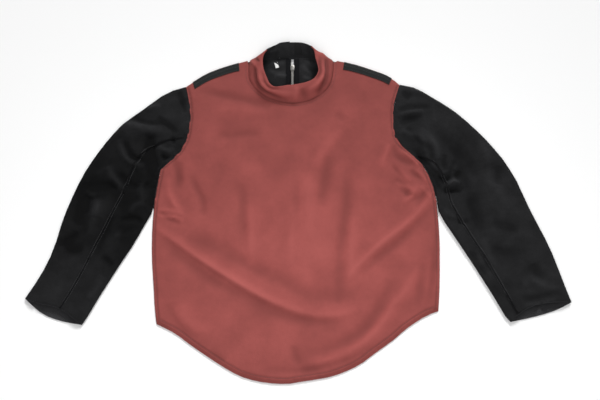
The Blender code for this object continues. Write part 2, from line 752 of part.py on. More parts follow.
def make_front(mat):
    columns = edged(FRONT_COLUMNS, ROLLED, ROLLED)
    rows = edged(FRONT_ROWS, DROOPED, ROLLED)
    cloth("front", front_mid(columns, rows), LEATHER, mat)


def make_backs(mat):
    for side in ("left", "right"):
        low, high = lifted(back_grid(side), 0.0, COTTON)
        wall("back_" + side, low, high, mat)


def make_sleeves(mat):
    rows = np.array(SLEEVE_ROWS)
    for side, seam in (("left", SEAM_TOP_LEFT), ("right", SEAM_TOP_RIGHT)):
        parting = (GAP / 2 + SEAM_SLACK) / SLEEVE_WIDTH
        upper = sleeve_stations(seam + parting, SEAM_BELOW + parting, True)
        under = sleeve_stations(SEAM_BELOW - parting, seam - parting, False)
        cloth("sleeve_upper_" + side, sleeve_mid(side, upper, rows), COTTON, mat)
        cloth("sleeve_under_" + side, sleeve_mid(side, under, rows), COTTON, mat)


def make_collar(leather, black, tape):
    half = COLLAR_WALL / 2
    spans = (
        ("front", LEATHER_FROM, LEATHER_TO, leather),
        ("back_left", OVERLAP_LEFT, LEATHER_FROM - SEAM_PART, black),
        ("back_right", LEATHER_TO + SEAM_PART, STATIONS + OVERLAP_RIGHT, black),
    )
    for name, first, last, mat in spans:
        stations = np.linspace(first, last, COLLAR_SPANS[name])
        mid, out = collar_band(stations, COLLAR_ROWS)
        if name == "back_left":
            lift = OVERLAP_LIFT * step((OVERLAP_END - stations) / OVERLAP_BEND)
            mid = mid - out * lift[None, :, None]
        wall("collar_" + name, mid - out * half, mid + out * half, mat)
    mid, out = collar_band(np.linspace(*FASTENER_STATIONS, 4), np.linspace(*FASTENER_ROWS, 4))
    low = mid - out * (half + GAP + TAPE)
    wall("collar_fastener", low, mid - out * (half + GAP), tape)


def make_strips(mat):
    """Hook-and-loop strips, laid on the front along each shoulder's edge."""
    rows = [(1, d, d, 1.0, 0.0) for d in STRIP_ROWS]
    rows += [(1, *edge, 0.0) for edge in reversed(ROLLED[2:4])]
    for side, end, reach in (("left", -1, STRIP_LEFT), ("right", 1, STRIP_RIGHT)):
        columns = [(end, d, d, 1.0, 0.0) for d in np.linspace(*reach, STRIP_COLUMNS)]
        mid = front_mid(np.array(columns), np.array(rows))
        on_face("shoulder_strip_" + side, mid, LEATHER / 2 + GAP, STRIP, mat)


def make_zip(tape, metal):
    lows = np.array(ZIP_ROWS)
    for side, turn in (("left", -1), ("right", 1)):
        across = ZIP_X + turn * np.array((TAPE_INNER, *TAPE_BENDS, TAPE_OUTER))
        x, y = np.meshgrid(np.sort(across), lows)
        low, high = lifted(np.dstack([x, y]), COTTON + GAP, COTTON + GAP + TAPE)
        wall("zip_tape_" + side, low, high, tape)
    chain_rows = lows[lows < SLIDER_Y + CHAIN_PAST_SLIDER]
    x, y = np.meshgrid((ZIP_X - CHAIN_HALF, ZIP_X + CHAIN_HALF), chain_rows)
    half = CHAIN_HEIGHT / 2
    low, high = lifted(np.dstack([x, y]), ZIP_MID - half, ZIP_MID + half)
    wall("zip_chain", low, high, metal)
    box(
        "zip_bottom_stop", metal,
        ZIP_X - CHAIN_HALF, ZIP_X + CHAIN_HALF,
        ZIP_BOTTOM - GAP - STOP_LENGTH, ZIP_BOTTOM - GAP, ZIP_MID - half, ZIP_MID + half,
    )


def make_slider(metal):
    """The slider: two plates joined by a post, side lips, and a crown below."""
    half = SLIDER_WIDTH / 2
    mid = ZIP_MID + RISE
    y0, y1 = SLIDER_Y - SLIDER_LENGTH / 2, SLIDER_Y + SLIDER_LENGTH / 2
    top, channel, lip = SLIDER_CHANNEL + SLIDER_PLATE, SLIDER_CHANNEL, SLIDER_LIP
    boxes = [(ZIP_X - half, ZIP_X + half, y0, y1, mid + channel, mid + top)]
    boxes.append(
        (ZIP_X - POST_HALF, ZIP_X + POST_HALF, y1 - POST_LENGTH, y1 - POST_SET_BACK,
         mid - channel - SHARED, mid + channel + SHARED)
    )
    boxes.append((ZIP_X - half, ZIP_X + half, y0, y1, mid - top, mid - channel))
    for turn in (-1, 1):
        outer = ZIP_X + turn * (half - OFFSET)
        x0, x1 = sorted((outer, outer - turn * LIP_WIDTH))
        for z0, z1 in ((lip, channel + SHARED), (-channel - SHARED, -lip)):
            boxes.append((x0, x1, y0 + LIP_BACK, y1 - LIP_FRONT, mid + z0, mid + z1))
    leg_top = mid - top + SHARED
    crown = ZIP_X - CROWN_HALF, ZIP_X + CROWN_HALF
    for y0, y1 in ((-CROWN_LEG_OUT, -CROWN_LEG_IN), (CROWN_LEG_IN, CROWN_LEG_OUT)):
        boxes.append((*crown, HINGE_Y + y0, HINGE_Y + y1, GAP, leg_top))
    reach = CROWN_LEG_OUT - SHARED
    boxes.append(
        (*crown, HINGE_Y - reach, HINGE_Y + reach, GAP + OFFSET, GAP + CROWN_BAR)
    )
    fused("zip_slider", metal, boxes)


def make_pull_tab(metal):
    """The pull tab: a crossbar in the crown, two arms and a plate toward the hem."""
    half, thick = PULL_WIDTH / 2, PULL_THICKNESS / 2
    boxes = [(-half, half, -PULL_LENGTH, -PULL_PLATE_FROM, -thick, thick)]
    outer, arm = half - OFFSET, thick - OFFSET
    for x0, x1 in ((-outer, PULL_ARM_WIDTH - outer), (outer - PULL_ARM_WIDTH, outer)):
        boxes.append((x0, x1, -PULL_PLATE_FROM - SHARED, thick, -arm, arm))
    bar, thin = outer - OFFSET, arm - OFFSET
    boxes.append((-bar, bar, -thin, thin, -thin, thin))
    tab = fused("pull_tab", metal, boxes)
    tab.location = (ZIP_X * MM, HINGE_Y * MM, HINGE_Z * MM)
    tab.rotation_euler = (PULL_TILT, 0, 0)


def make_label(mat):
    """A small blank label, sewn down inside the neck by the back seam."""
    corners = np.array(LABEL)
    u, v = np.meshgrid(np.linspace(0, 1, 4), np.linspace(0, 1, 4))
    u, v = u[..., None], v[..., None]
    plan = (1 - v) * ((1 - u) * corners[0] + u * corners[1])
    plan = plan + v * ((1 - u) * corners[3] + u * corners[2])
    low, high = lifted(plan, COTTON + GAP, COTTON + GAP + LABEL_THICKNESS)
    wall("neck_label", low, high, mat)


def main():
    clear_scene()
    leather = material("brick_leather", (0.31, 0.075, 0.065), 0.62)
    black = material("black_cotton", (0.018, 0.018, 0.02), 0.9)
    tape = material("hook_and_loop", (0.014, 0.016, 0.016), 0.85)
    metal = material("nickel", (0.6, 0.6, 0.6), 0.32, 1.0)
    white = material("white_label", (0.8, 0.8, 0.8), 0.8)
    make_front(leather)
    make_backs(black)
    make_sleeves(black)
    make_collar(leather, black, tape)
    make_strips(tape)
    make_zip(tape, metal)
    make_slider(metal)
    make_pull_tab(metal)
    make_label(white)


main()
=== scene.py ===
"""Looks of a fencing coach's jacket that lies flat on its back, front side up.

The frame holds the jacket's pieces as plain solids. This script gives the cloth its
creases, sews the seams, fits the zip with teeth and gives every piece its finish.
Left and right are the viewer's. Shapes are worked out in millimetres and written to
the meshes in metres.
"""
import math

import bmesh
import bpy
import numpy as np
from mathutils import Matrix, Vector, noise
from mathutils.bvhtree import BVHTree
from mathutils.kdtree import KDTree


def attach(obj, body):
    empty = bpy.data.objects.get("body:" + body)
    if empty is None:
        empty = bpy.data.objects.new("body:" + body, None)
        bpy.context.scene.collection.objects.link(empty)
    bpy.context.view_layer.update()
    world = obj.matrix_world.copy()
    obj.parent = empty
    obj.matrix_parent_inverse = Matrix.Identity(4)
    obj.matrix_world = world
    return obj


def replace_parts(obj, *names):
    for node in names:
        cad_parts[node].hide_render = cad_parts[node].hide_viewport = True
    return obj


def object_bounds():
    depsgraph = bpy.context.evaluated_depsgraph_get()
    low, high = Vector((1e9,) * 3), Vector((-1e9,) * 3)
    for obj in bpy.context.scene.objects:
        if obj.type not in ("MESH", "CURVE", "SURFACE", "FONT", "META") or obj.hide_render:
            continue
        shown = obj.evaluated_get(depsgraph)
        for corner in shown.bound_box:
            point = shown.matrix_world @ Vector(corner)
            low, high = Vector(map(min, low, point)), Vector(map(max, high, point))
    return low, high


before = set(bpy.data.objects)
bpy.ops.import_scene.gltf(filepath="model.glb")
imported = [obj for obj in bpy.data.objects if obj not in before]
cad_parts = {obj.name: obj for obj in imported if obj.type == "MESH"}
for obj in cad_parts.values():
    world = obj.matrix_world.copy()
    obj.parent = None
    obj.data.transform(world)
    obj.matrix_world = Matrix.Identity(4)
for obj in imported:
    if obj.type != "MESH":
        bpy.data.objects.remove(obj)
CAD_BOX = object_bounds()

bl_info = {
    "name": "Fencing coach's jacket",
    "version": (1, 0, 0),
    "blender": (4, 5, 0),
    "location": "View3D > Sidebar > Jacket",
    "description": "Creases, seams, zip and finishes of a jacket that lies flat",
    "category": "Add Mesh",
}

MM = 0.001

# Walls of the cloth and the tapes, and the gap between layers that lie on each other
LEATHER = 2.6
COTTON = 2.2
COLLAR_WALL = 3.0
TAPE_WALL = 1.0
STRIP_WALL = 1.6
FASTENER_WALL = 1.0
LABEL_WALL = 0.55
GAP = 0.3

# Heights of the middle of each upper layer, and how far its creases and seams move it
FRONT_MID = 5.4
FRONT_PUFF = 2.0
NECK_PUFF = 0.4
FRONT_GAIN = 1.15
STITCH_SINK = 0.9
STITCH_HALF_WIDTH = 2.4
NECK_ROLL = 1.0
NECK_ROLL_HALF_WIDTH = 3.0
SLEEVE_MID = 7.9
SLEEVE_GAIN = 2.3
COLLAR_GAIN = 1.8
CUFF_PRESSED = 0.45
# Levels that the middle of an upper layer doesn't sink below, over the lower layers
FRONT_LOWEST = 3.9
SLEEVE_LOWEST = 3.6
# Distances from the outline, the neck, the front and the cuff over which the cloth
# comes up to its full height and its creases to their full depth
FRONT_EDGE = 11.0
SLEEVE_EDGE = 9.0
NECK_CALM = 14.0
NECK_FLAT = 45.0
BODY_CALM = 14.0
CUFF_CALM = 24.0
# Soft swell of the cloth between its creases: height, length of a wave, seed
FRONT_SWELL = ((0.9, 70, 3.0), (0.36, 26, 8.0))
SLEEVE_SWELL = ((0.9, 55, 5.0), (0.6, 21, 9.0), (0.22, 9, 2.0))
BACK_SWELL = ((2.2, 18, 7.0),)
COLLAR_SWELL = ((0.35, 14, 6.0),)
# Height of the pile on the hook-and-loop tape
PILE = 0.25
# The belly, painted paler as if more light fell there: x and y of its middle and half its sizes
BELLY = (5, -130, 205, 170)
# How much lighter or darker each sleeve is drawn at these distances from the cuff
SLEEVE_TONE_FROM_CUFF = (0, 90, 200, 320, 430, 570)
SLEEVE_TONE = {
    "left": (-0.9, -2.8, -5.2, -5.8, -2.8, -0.8), "right": (-1.4, -1.5, -1.3, -1.9, -1.5, 0.2),
}
# Painted light on the sleeves' lower layer, which shows only along their edges, in shadow
SLEEVE_UNDER_PAINTED_LIGHT = 9.0
# The sleeves' grain and the seams' grain, in radians from the jacket's own
SLEEVE_GRAIN = math.radians(24)
SEAM_GRAIN = 0.42
# Width of a sleeve piece's cut, as a share of its mean width all round
CUT_WIDTH = 1.05

# Longest edges of the meshes that aren't among the sizes in the panel
BACK_STEP = 11.0
BACK_STEP_IN_NECK = 4.5
STRIP_STEP = 3.5
TAPE_STEP = 8.0
# The back shows through the neck past this y, and this far to each side of the zip
NECK_FROM = 270
NECK_REACH = 80
# Grid of square cells over the whole plan, which marks where the front's mesh is fine
CELL = 4
CELLS = (400, 300)
GRID_CORNER = (-800, -600)
# The side of the front that shows is above this height
FRONT_SHOWN = 4.4
# Rays are cast down from above the jacket, and up from below the floor
RAY_HIGH = 90
RAY_LOW = -20

# The zip at the centre back, and how far the cloth is lifted over its slider
ZIP_X = -13.0
ZIP_MID = 3.0
ZIP_BOTTOM = -352.0
SLIDER_Y = 318.0
SLIDER_HALF = 7.0
RISE = 3.5
RISE_HALF_WIDTH = 52.0
RISE_TO_HEM = 92.0
RISE_TO_COLLAR = 62.0
# The front lies a little higher all along the zip
ZIP_LIFT = 1.1
ZIP_LIFT_WIDTH = 60.0
# The line that the pull tab turns about, and how far the tab is tipped at rest
HINGE_Y = 311.0
HINGE_Z = 2.4
TAB_TILT = math.radians(2.6)
# One zip tooth, in metres: its foot on the tape, and its head, set out by the reach
TOOTH = {
    "Foot length": 0.00115, "Foot width": 0.0019, "Foot height": 0.0021,
    "Head radius": 0.00053, "Head height": 0.0017, "Reach": 0.00115,
}
# Each row of teeth is this far from the zip's middle
TOOTH_ROW = 1.35
# Stitches beside the zip run between these places
ZIP_ROW_SPAN = (-356, 332)

# Creases of the cloth: a crest or, with a negative height, a trough along a line.
# The two widths are on the line's left and right sides, seen along it.
FRONT_CREASES = (
    # height, width on the left, width on the right, points of the line
    (4.8, 11, 6, ((-306, -58), (-265, -86), (-228, -113), (-193, -137), (-159, -159),
     (-125, -180), (-91, -200), (-58, -217), (-21, -232), (10, -241))),
    (2.6, 11, 8, ((-24, -235), (12, -243), (48, -249), (85, -247), (124, -234))),
    (-2.8, 10, 13, ((-290, -84), (-249, -121), (-214, -149), (-179, -174), (-141, -194),
     (-99, -214), (-58, -234), (-16, -250), (37, -259), (82, -254))),
    (-3.4, 20, 16, ((-238, -73), (-186, -99), (-130, -127), (-75, -157), (-33, -177),
     (8, -200), (50, -210), (87, -211), (116, -198), (133, -172))),
    (4.8, 12, 7, ((293, 20), (261, -20), (232, -49), (201, -73), (173, -95), (145, -121),
     (121, -147), (102, -172))),
    (-2.8, 9, 12, ((288, -11), (265, -40), (238, -66), (209, -95), (179, -117), (153, -138),
     (129, -164))),
    (3.6, 13, 8, ((255, -147), (238, -172), (220, -200), (198, -223), (181, -250), (160, -277),
     (137, -299), (106, -319), (71, -336), (36, -352))),
    (-2.8, 10, 14, ((198, -172), (178, -215), (156, -252), (131, -281), (96, -301), (57, -319),
     (20, -330))),
    (-2.0, 8, 10, ((264, -134), (258, -168), (253, -202), (245, -231))),
    (-2.2, 9, 12, ((-271, -223), (-255, -254), (-231, -281), (-204, -297))),
    (2.0, 14, 14, ((-252, -227), (-232, -258), (-205, -275), (-180, -285))),
    (-2.6, 12, 11, ((-124, 39), (-118, -6), (-115, -60), (-111, -112))),
    (2.8, 10, 12, ((-108, -6), (-103, -60), (-101, -112), (-99, -147))),
    (-3.0, 14, 12, ((65, 104), (61, 67), (52, 12), (47, -15))),
    (-3.2, 13, 11, ((108, 80), (106, 49), (103, -6), (96, -60), (88, -112), (85, -168), (84, -226))),
    (2.8, 12, 13, ((115, -33), (115, -86), (109, -138), (105, -177))),
    (1.8, 16, 16, ((15, 67), (21, 30), (23, -11), (25, -51), (21, -86))),
    (1.6, 9, 9, ((-15, -33), (-14, -77), (-17, -121), (-17, -147))),
    (-1.6, 9, 9, ((-2, 49), (-5, 12), (-2, -28))),
    (-3.0, 9, 8, ((-256, 90), (-259, 58), (-259, 26))),
    (-2.8, 8, 8, ((-233, 58), (-218, 26), (-206, 3), (-202, -33))),
    (2.4, 9, 9, ((-283, 58), (-279, 26), (-266, -6), (-246, -28))),
    (2.6, 4.5, 4.5, ((-302, -20), (-279, -22), (-257, -28), (-240, -33))),
    (2.6, 4.5, 4.5, ((-302, -33), (-278, -36), (-259, -38), (-243, -45))),
    (-1.6, 10, 10, ((-181, 156), (-150, 151), (-120, 156), (-86, 156))),
    (-2.8, 12, 9, ((-225, 260), (-193, 255), (-157, 246), (-121, 239), (-88, 229), (-63, 216))),
    (1.6, 12, 14, ((-197, 216), (-152, 216), (-107, 211), (-63, 202))),
    (2.4, 12, 12, ((97, 163), (72, 137), (52, 104), (41, 72))),
    (-3.2, 7, 7, ((208, 130), (216, 104), (240, 88), (257, 86))),
    (3.0, 7, 7, ((200, 132), (190, 104), (180, 76))),
    (3.4, 6, 6, ((225, 116), (240, 107), (253, 95), (263, 79))),
    (-2.8, 6, 6, ((210, 53), (223, 39), (235, 23), (232, 5))),
    (3.0, 6, 7, ((262, 39), (250, 21), (241, 8), (224, -6))),
    (-2.8, 6, 6, ((243, 72), (258, 58), (271, 49))),
    (2.6, 6, 6, ((217, 72), (230, 58), (247, 44))),
    (-2.6, 6, 6, ((281, 30), (267, 8), (253, -11))),
    (-1.6, 10, 10, ((-179, -317), (-166, -330), (-146, -342))),
    (-2.4, 9, 9, ((-10, -309), (-4, -334), (2, -350))),
    (-2.0, 7, 9, ((4, -361), (36, -357), (65, -346))),
    (-1.6, 9, 9, ((82, 204), (93, 197), (98, 185))),
    (-2.6, 5, 5, ((205, 83), (217, 67), (232, 53))),
    (2.4, 5, 5, ((212, 42), (229, 33), (246, 26))),
    (-2.8, 5, 5, ((218, 28), (235, 17), (256, 10))),
    (2.6, 5, 5, ((254, 72), (269, 56), (281, 40))),
    (-2.4, 5, 5, ((236, 1), (254, 5), (274, 21))),
    (2.2, 5, 5, ((264, 35), (278, 17), (290, 1))),
    (-2.0, 6, 6, ((293, -68), (286, -134), (276, -193), (268, -227))),
    (1.8, 5, 5, ((301, -86), (296, -140), (289, -198))),
    (-1.8, 8, 8, ((-73, -359), (4, -359), (85, -343), (150, -315))),
    (-1.3, 12, 14, ((-131, -210), (-74, -240), (4, -260), (96, -264))),
    (2.0, 6, 6, ((-276, 12), (-264, -10), (-248, -31))),
    (-2.4, 5, 5, ((-296, -24), (-278, -39), (-252, -51))),
    (-2.2, 7, 7, ((-277, 119), (-268, 81), (-254, 44))),
)
LEFT_SLEEVE_CREASES = (
    # height, width on the left, width on the right, points of the line
    (-3.0, 7, 7, ((-269, 260), (-264, 244), (-256, 224), (-249, 205))),
    (2.2, 6, 6, ((-339, 214), (-324, 218), (-306, 224))),
    (-3.2, 7, 9, ((-367, 193), (-346, 183), (-320, 179), (-300, 187))),
    (4.2, 12, 16, ((-404, 163), (-383, 173), (-353, 173), (-323, 169), (-301, 157))),
    (-2.8, 7, 7, ((-314, 196), (-294, 181), (-277, 167), (-269, 155))),
    (-4.0, 12, 12, ((-326, 157), (-327, 132), (-325, 104), (-317, 81), (-308, 58))),
    (-3.0, 7, 7, ((-386, 140), (-376, 124), (-365, 104), (-350, 95), (-332, 92))),
    (3.2, 8, 8, ((-392, 144), (-386, 120), (-374, 96), (-351, 83), (-333, 81))),
    (-2.4, 6, 6, ((-282, 147), (-274, 140), (-277, 132))),
    (-2.4, 6, 6, ((-298, 110), (-292, 100), (-279, 98))),
    (2.6, 7, 7, ((-306, 128), (-299, 120), (-284, 114), (-271, 120))),
    (2.4, 6, 6, ((-290, 89), (-279, 93), (-270, 96))),
    (-3.0, 8, 8, ((-388, 60), (-372, 42), (-357, 32), (-338, 35))),
    (3.2, 9, 9, ((-414, 81), (-404, 58), (-388, 39), (-371, 23))),
    (-3.0, 12, 10, ((-453, 35), (-431, 29), (-409, 31), (-389, 23))),
    (2.2, 7, 7, ((-459, 23), (-448, 14), (-433, 11))),
    (-2.4, 9, 9, ((-461, 8), (-457, -11), (-455, -29))),
    (2.4, 12, 12, ((-438, 5), (-431, -14), (-433, -37))),
    (-2.4, 10, 12, ((-470, -66), (-476, -79), (-492, -94), (-500, -103))),
    (-2.6, 14, 12, ((-495, -106), (-473, -108), (-452, -110))),
    (-2.4, 5, 7, ((-379, -41), (-362, -40), (-344, -41), (-331, -50))),
    (2.0, 7, 7, ((-391, -79), (-373, -77), (-356, -68), (-339, -64))),
    (-2.0, 6, 8, ((-413, -123), (-398, -132), (-387, -142))),
    (-2.6, 8, 8, ((-332, 39), (-323, 35), (-313, 39))),
    (-3.4, 9, 9, ((-322, 156), (-324, 113), (-316, 71), (-307, 25), (-309, -15))),
    (2.4, 8, 8, ((-342, 42), (-339, 20), (-330, -3))),
    (-2.6, 12, 12, ((-446, 39), (-459, -6), (-468, -56))),
    (-2.0, 8, 8, ((-397, -33), (-411, -78), (-425, -121))),
    (2.2, 8, 8, ((-426, 3), (-432, -33), (-441, -78))),
    (2.0, 7, 7, ((-359, -29), (-348, -11), (-326, -6))),
    (-2.2, 7, 7, ((-377, -82), (-361, -69), (-340, -60))),
    (2.0, 9, 9, ((-434, -215), (-419, -194), (-405, -164))),
)
RIGHT_SLEEVE_CREASES = (
    # height, width on the left, width on the right, points of the line
    (-2.6, 8, 8, ((236, 260), (241, 250), (252, 242))),
    (2.2, 9, 9, ((251, 258), (266, 262), (284, 252))),
    (-2.4, 7, 7, ((221, 211), (242, 218), (272, 220), (294, 222))),
    (2.6, 7, 7, ((221, 199), (241, 204), (264, 209), (279, 211))),
    (-2.8, 8, 9, ((224, 179), (243, 188), (263, 195), (278, 195))),
    (3.0, 8, 8, ((225, 163), (247, 157), (265, 147), (277, 128), (288, 104))),
    (-3.2, 8, 8, ((238, 171), (258, 149), (272, 132), (286, 120), (295, 96))),
    (2.6, 9, 9, ((266, 167), (287, 147), (300, 124), (306, 96))),
    (-2.8, 14, 14, ((310, 163), (330, 136), (358, 108), (375, 81), (384, 54))),
    (-3.2, 7, 7, ((303, 58), (319, 53), (335, 58), (354, 73))),
    (2.6, 7, 7, ((336, 69), (336, 50), (337, 27))),
    (-2.6, 7, 7, ((332, 39), (344, 27), (359, 35))),
    (2.6, 7, 7, ((307, 37), (323, 39), (340, 42), (354, 48))),
    (-2.2, 8, 8, ((345, 73), (346, 50), (350, 35))),
    (-2.8, 10, 10, ((257, 124), (266, 100), (280, 73), (297, 50), (303, 27))),
    (2.6, 7, 7, ((276, 108), (288, 89), (305, 69), (315, 58))),
    (-2.6, 7, 7, ((322, 108), (317, 89), (323, 69))),
    (-2.4, 14, 14, ((385, 20), (380, -11), (381, -40), (393, -70))),
    (-2.4, 12, 12, ((413, -48), (440, -57), (468, -70))),
    (2.2, 14, 14, ((403, 73), (415, 42), (435, 12), (454, -18))),
    (2.0, 12, 12, ((397, 144), (406, 112), (415, 81))),
    (-2.0, 9, 9, ((433, 81), (435, 58), (429, 35))),
    (-2.2, 10, 12, ((405, -106), (433, -114), (468, -110))),
    (-2.2, 12, 12, ((490, -139), (502, -160), (515, -175))),
    (2.0, 12, 12, ((462, -182), (490, -176), (514, -189), (534, -196))),
    (-2.0, 8, 8, ((463, -215), (494, -213), (522, -206), (547, -199))),
    (2.2, 8, 8, ((465, -229), (493, -225), (521, -218))),
    (-2.0, 6, 6, ((338, -44), (352, -48), (363, -44))),
    (1.8, 7, 7, ((311, -18), (325, -33), (339, -37))),
    (-2.2, 14, 14, ((229, 160), (258, 122), (287, 85), (309, 43), (318, 12))),
    (-2.6, 5, 5, ((309, 34), (323, 53), (335, 76), (342, 94))),
    (2.4, 5, 5, ((319, 30), (333, 39), (350, 43))),
    (-2.4, 5, 5, ((313, 25), (332, 23), (353, 25))),
    (-2.0, 8, 10, ((362, -108), (373, -139), (392, -164))),
    (1.8, 8, 8, ((389, -86), (399, -121), (418, -147))),
    (-2.0, 9, 9, ((337, 118), (352, 80), (366, 25), (367, -29))),
)
# Creases of the back that show inside the neck
NECK_CREASES = (
    # height, width on the left, width on the right, points of the line
    (2.2, 3.5, 5, ((-56, 299), (-46, 301), (-34, 300), (-22, 301))),
    (1.6, 5, 5, ((-66, 318), (-56, 309), (-42, 306), (-28, 308))),
    (1.5, 5, 6, ((8, 330), (16, 318), (24, 308), (34, 300))),
    (1.3, 5, 5, ((10, 300), (22, 294), (34, 292))),
    (1.2, 6, 6, ((-60, 336), (-44, 331), (-30, 332))),
    (1.0, 6, 6, ((14, 338), (28, 331), (40, 326))),
)

# Collar stations from the centre back round by the left: the seam where the band is
# sewn on, then the band's free edge above it
COLLAR = (
    # seam x, seam y, seam z, edge x, edge y, edge z
    (-19, 344, 3.6, -19, 378, 16),
    (-40, 344, 2.5, -38, 375.5, 17),
    (-58, 344, 1.8, -52, 369, 20),
    (-78, 343.5, 1.8, -66, 358, 26),
    (-97, 342.5, 2.8, -75, 344, 30),
    (-109.5, 337, 4.0, -79, 331, 31),
    (-112, 325, 5.0, -79, 316, 31),
    (-112.5, 308, 5.3, -76, 300, 31),
    (-110, 289, 5.4, -70, 284, 30),
    (-101, 273, 5.4, -63.5, 269, 30),
    (-88, 259, 5.4, -53, 261, 30),
    (-70, 246, 5.6, -40, 261.5, 30),
    (-42, 234.5, 6.2, -26, 264, 30),
    (-9, 230, 6.5, -8, 266, 30),
    (22, 236, 6.1, 10, 269.5, 30),
    (43, 247, 5.6, 24, 274, 30),
    (59, 259, 5.4, 34, 280, 30),
    (71, 275, 5.4, 41, 289, 30),
    (77, 293, 5.4, 45, 301, 30),
    (79.5, 311, 5.3, 43, 315, 30),
    (80, 327, 5.0, 39, 330, 30),
    (77.5, 338.5, 4.0, 37, 344, 28),
    (62, 343, 2.8, 34, 357, 25),
    (43, 344, 1.8, 26, 368, 21),
    (22, 344, 2.0, 14, 375, 18),
    (2, 344, 3.3, 1, 378, 16),
    (-19, 344, 3.6, -19, 378, 16),
)
STATIONS = 26
# Stations where the collar is sewn on the leather, and those on the cotton behind
NECK_STATIONS = slice(5, 22)
NECK_BACK_STATIONS = range(21, 32)
LEATHER_FROM = 3.4
LEATHER_TO = 22.6
# The collar's left end passes under its right one: how far it is set in, and the station
# where that ends and over how many stations
OVERLAP_LIFT = COLLAR_WALL + 0.6
OVERLAP_END = 1.85
OVERLAP_BEND = 0.55
# Share of the band's height over which it runs level before it rises
COLLAR_FLAT = 0.04
COLLAR_SPANS = {
    # first station, last station, columns, slot, stations over which the creases fade
    "front": (LEATHER_FROM, LEATHER_TO, 150, "leather", 0.3),
    "back_left": (0.03, LEATHER_FROM - 0.06, 40, "cotton", 0.5),
    "back_right": (LEATHER_TO + 0.06, STATIONS + 1.1, 50, "cotton", 0.5),
}
# Rows up the band as shares of its height, close together at its foot and its rim
COLLAR_ROWS = np.concatenate([
    [0, 0.012, 0.03, 0.05], np.linspace(0.08, 0.95, 18), [0.97, 0.985, 0.994, 1.0]
])
# Rows below the rim that are leather on the inner side too
RIM_ROWS = 4
# Along the collar a station is 18 mm wide here, and the band is 36 mm high
STATION_WIDTH = 18.0
BAND_HEIGHT = 36.0
COLLAR_CREASES = (
    # height, width below, width above, points as (station, share of the band's height)
    (-2.2, 4, 4, ((6.2, 0.5), (8.0, 0.36), (9.6, 0.3), (11.2, 0.26), (12.6, 0.16))),
    (1.6, 5, 5, ((6.6, 0.72), (8.4, 0.58), (10.2, 0.5), (12.0, 0.46), (13.2, 0.42))),
    (-1.2, 3, 3, ((7.4, 0.86), (8.8, 0.74), (10.2, 0.68), (11.4, 0.7))),
    (-1.5, 3, 4, ((4.4, 0.3), (5.2, 0.55), (5.8, 0.8))),
    (1.3, 4, 4, ((5.2, 0.2), (6.0, 0.4), (6.8, 0.6))),
    (-2.0, 5, 5, ((15.0, 0.2), (16.6, 0.32), (18.2, 0.42), (19.6, 0.4), (20.8, 0.3))),
    (1.6, 5, 5, ((14.2, 0.5), (16.0, 0.6), (17.8, 0.68), (19.4, 0.66))),
    (-1.6, 4, 4, ((16.2, 0.86), (17.6, 0.82), (19.0, 0.84), (20.4, 0.7))),
    (-1.0, 6, 6, ((13.9, 0.1), (13.8, 0.4), (13.7, 0.7))),
    (1.0, 4, 4, ((13.1, 0.16), (13.2, 0.5), (13.2, 0.86))),
    (1.2, 5, 5, ((20.6, 0.9), (21.4, 0.5), (21.8, 0.2))),
    (-1.2, 4, 5, ((1.2, 0.55), (2.2, 0.5), (3.2, 0.56))),
    (1.0, 5, 5, ((24.0, 0.3), (23.4, 0.5), (22.9, 0.8))),
)
FASTENER_STATIONS = (24.55, 25.5)
FASTENER_ROWS = (0.22, 0.9)

# A point on each cuff's end and the direction up the sleeve from it
CUFFS = {
    "left": ((-445, -265), (0.401, 0.917)),
    "right": ((438, -259), (-0.298, 0.954)),
}

# Rows of stitches: how far each lies from the edge or the middle that it follows
HEM_ROW = 10.0
SIDE_ROW = 5.5
ARMHOLE_ROW = 4.0
NECK_ROW = 6.0
SLEEVE_SEAM_ROW = 2.4
CUFF_ROWS = (12.0, 14.5)
CUFF_BACK_ROW = 14.0
STRIP_ROWS = (9.0, 17.0)
ZIP_ROWS = (9.0, 15.5)
# Points of the plan lines for rows of stitches are this far apart
ROW_SPACING = 3.0

# The sleeves' felled seams, and the radius of each rolled seam
FELLED_WIDTH = 7.5
FELLED_HEIGHT = 0.9
ARMHOLE_ROLL = 1.5
NECK_SEAM_ROLL = 1.7

# Edges of the pieces in plan, which the rows of stitches follow
HEM = (
    (-290, -264), (-252, -283), (-220, -306), (-181, -332), (-144, -355), (-112, -371),
    (-72, -381), (-26, -384.5), (4, -380.5), (34, -376), (67, -370), (103, -357),
    (130, -343), (157, -323), (194, -297), (224, -272), (262, -248), (289, -237),
)
SIDE_LEFT = (
    (-290, -264), (-296, -224), (-300, -184), (-306, -133), (-309, -85), (-309, -23),
    (-305, 27), (-299, 75),
)
SIDE_RIGHT = (
    (289, -237), (294, -184), (297, -133), (299, -85), (298, -23), (293, 27), (276, 78),
)
ARMHOLE_LEFT = (
    (-299, 75), (-263, 109), (-246, 142), (-240, 186), (-243, 229), (-252, 271),
)
ARMHOLE_RIGHT = (
    (276, 78), (243, 113), (217, 141), (211, 181), (214, 229), (228, 276),
)
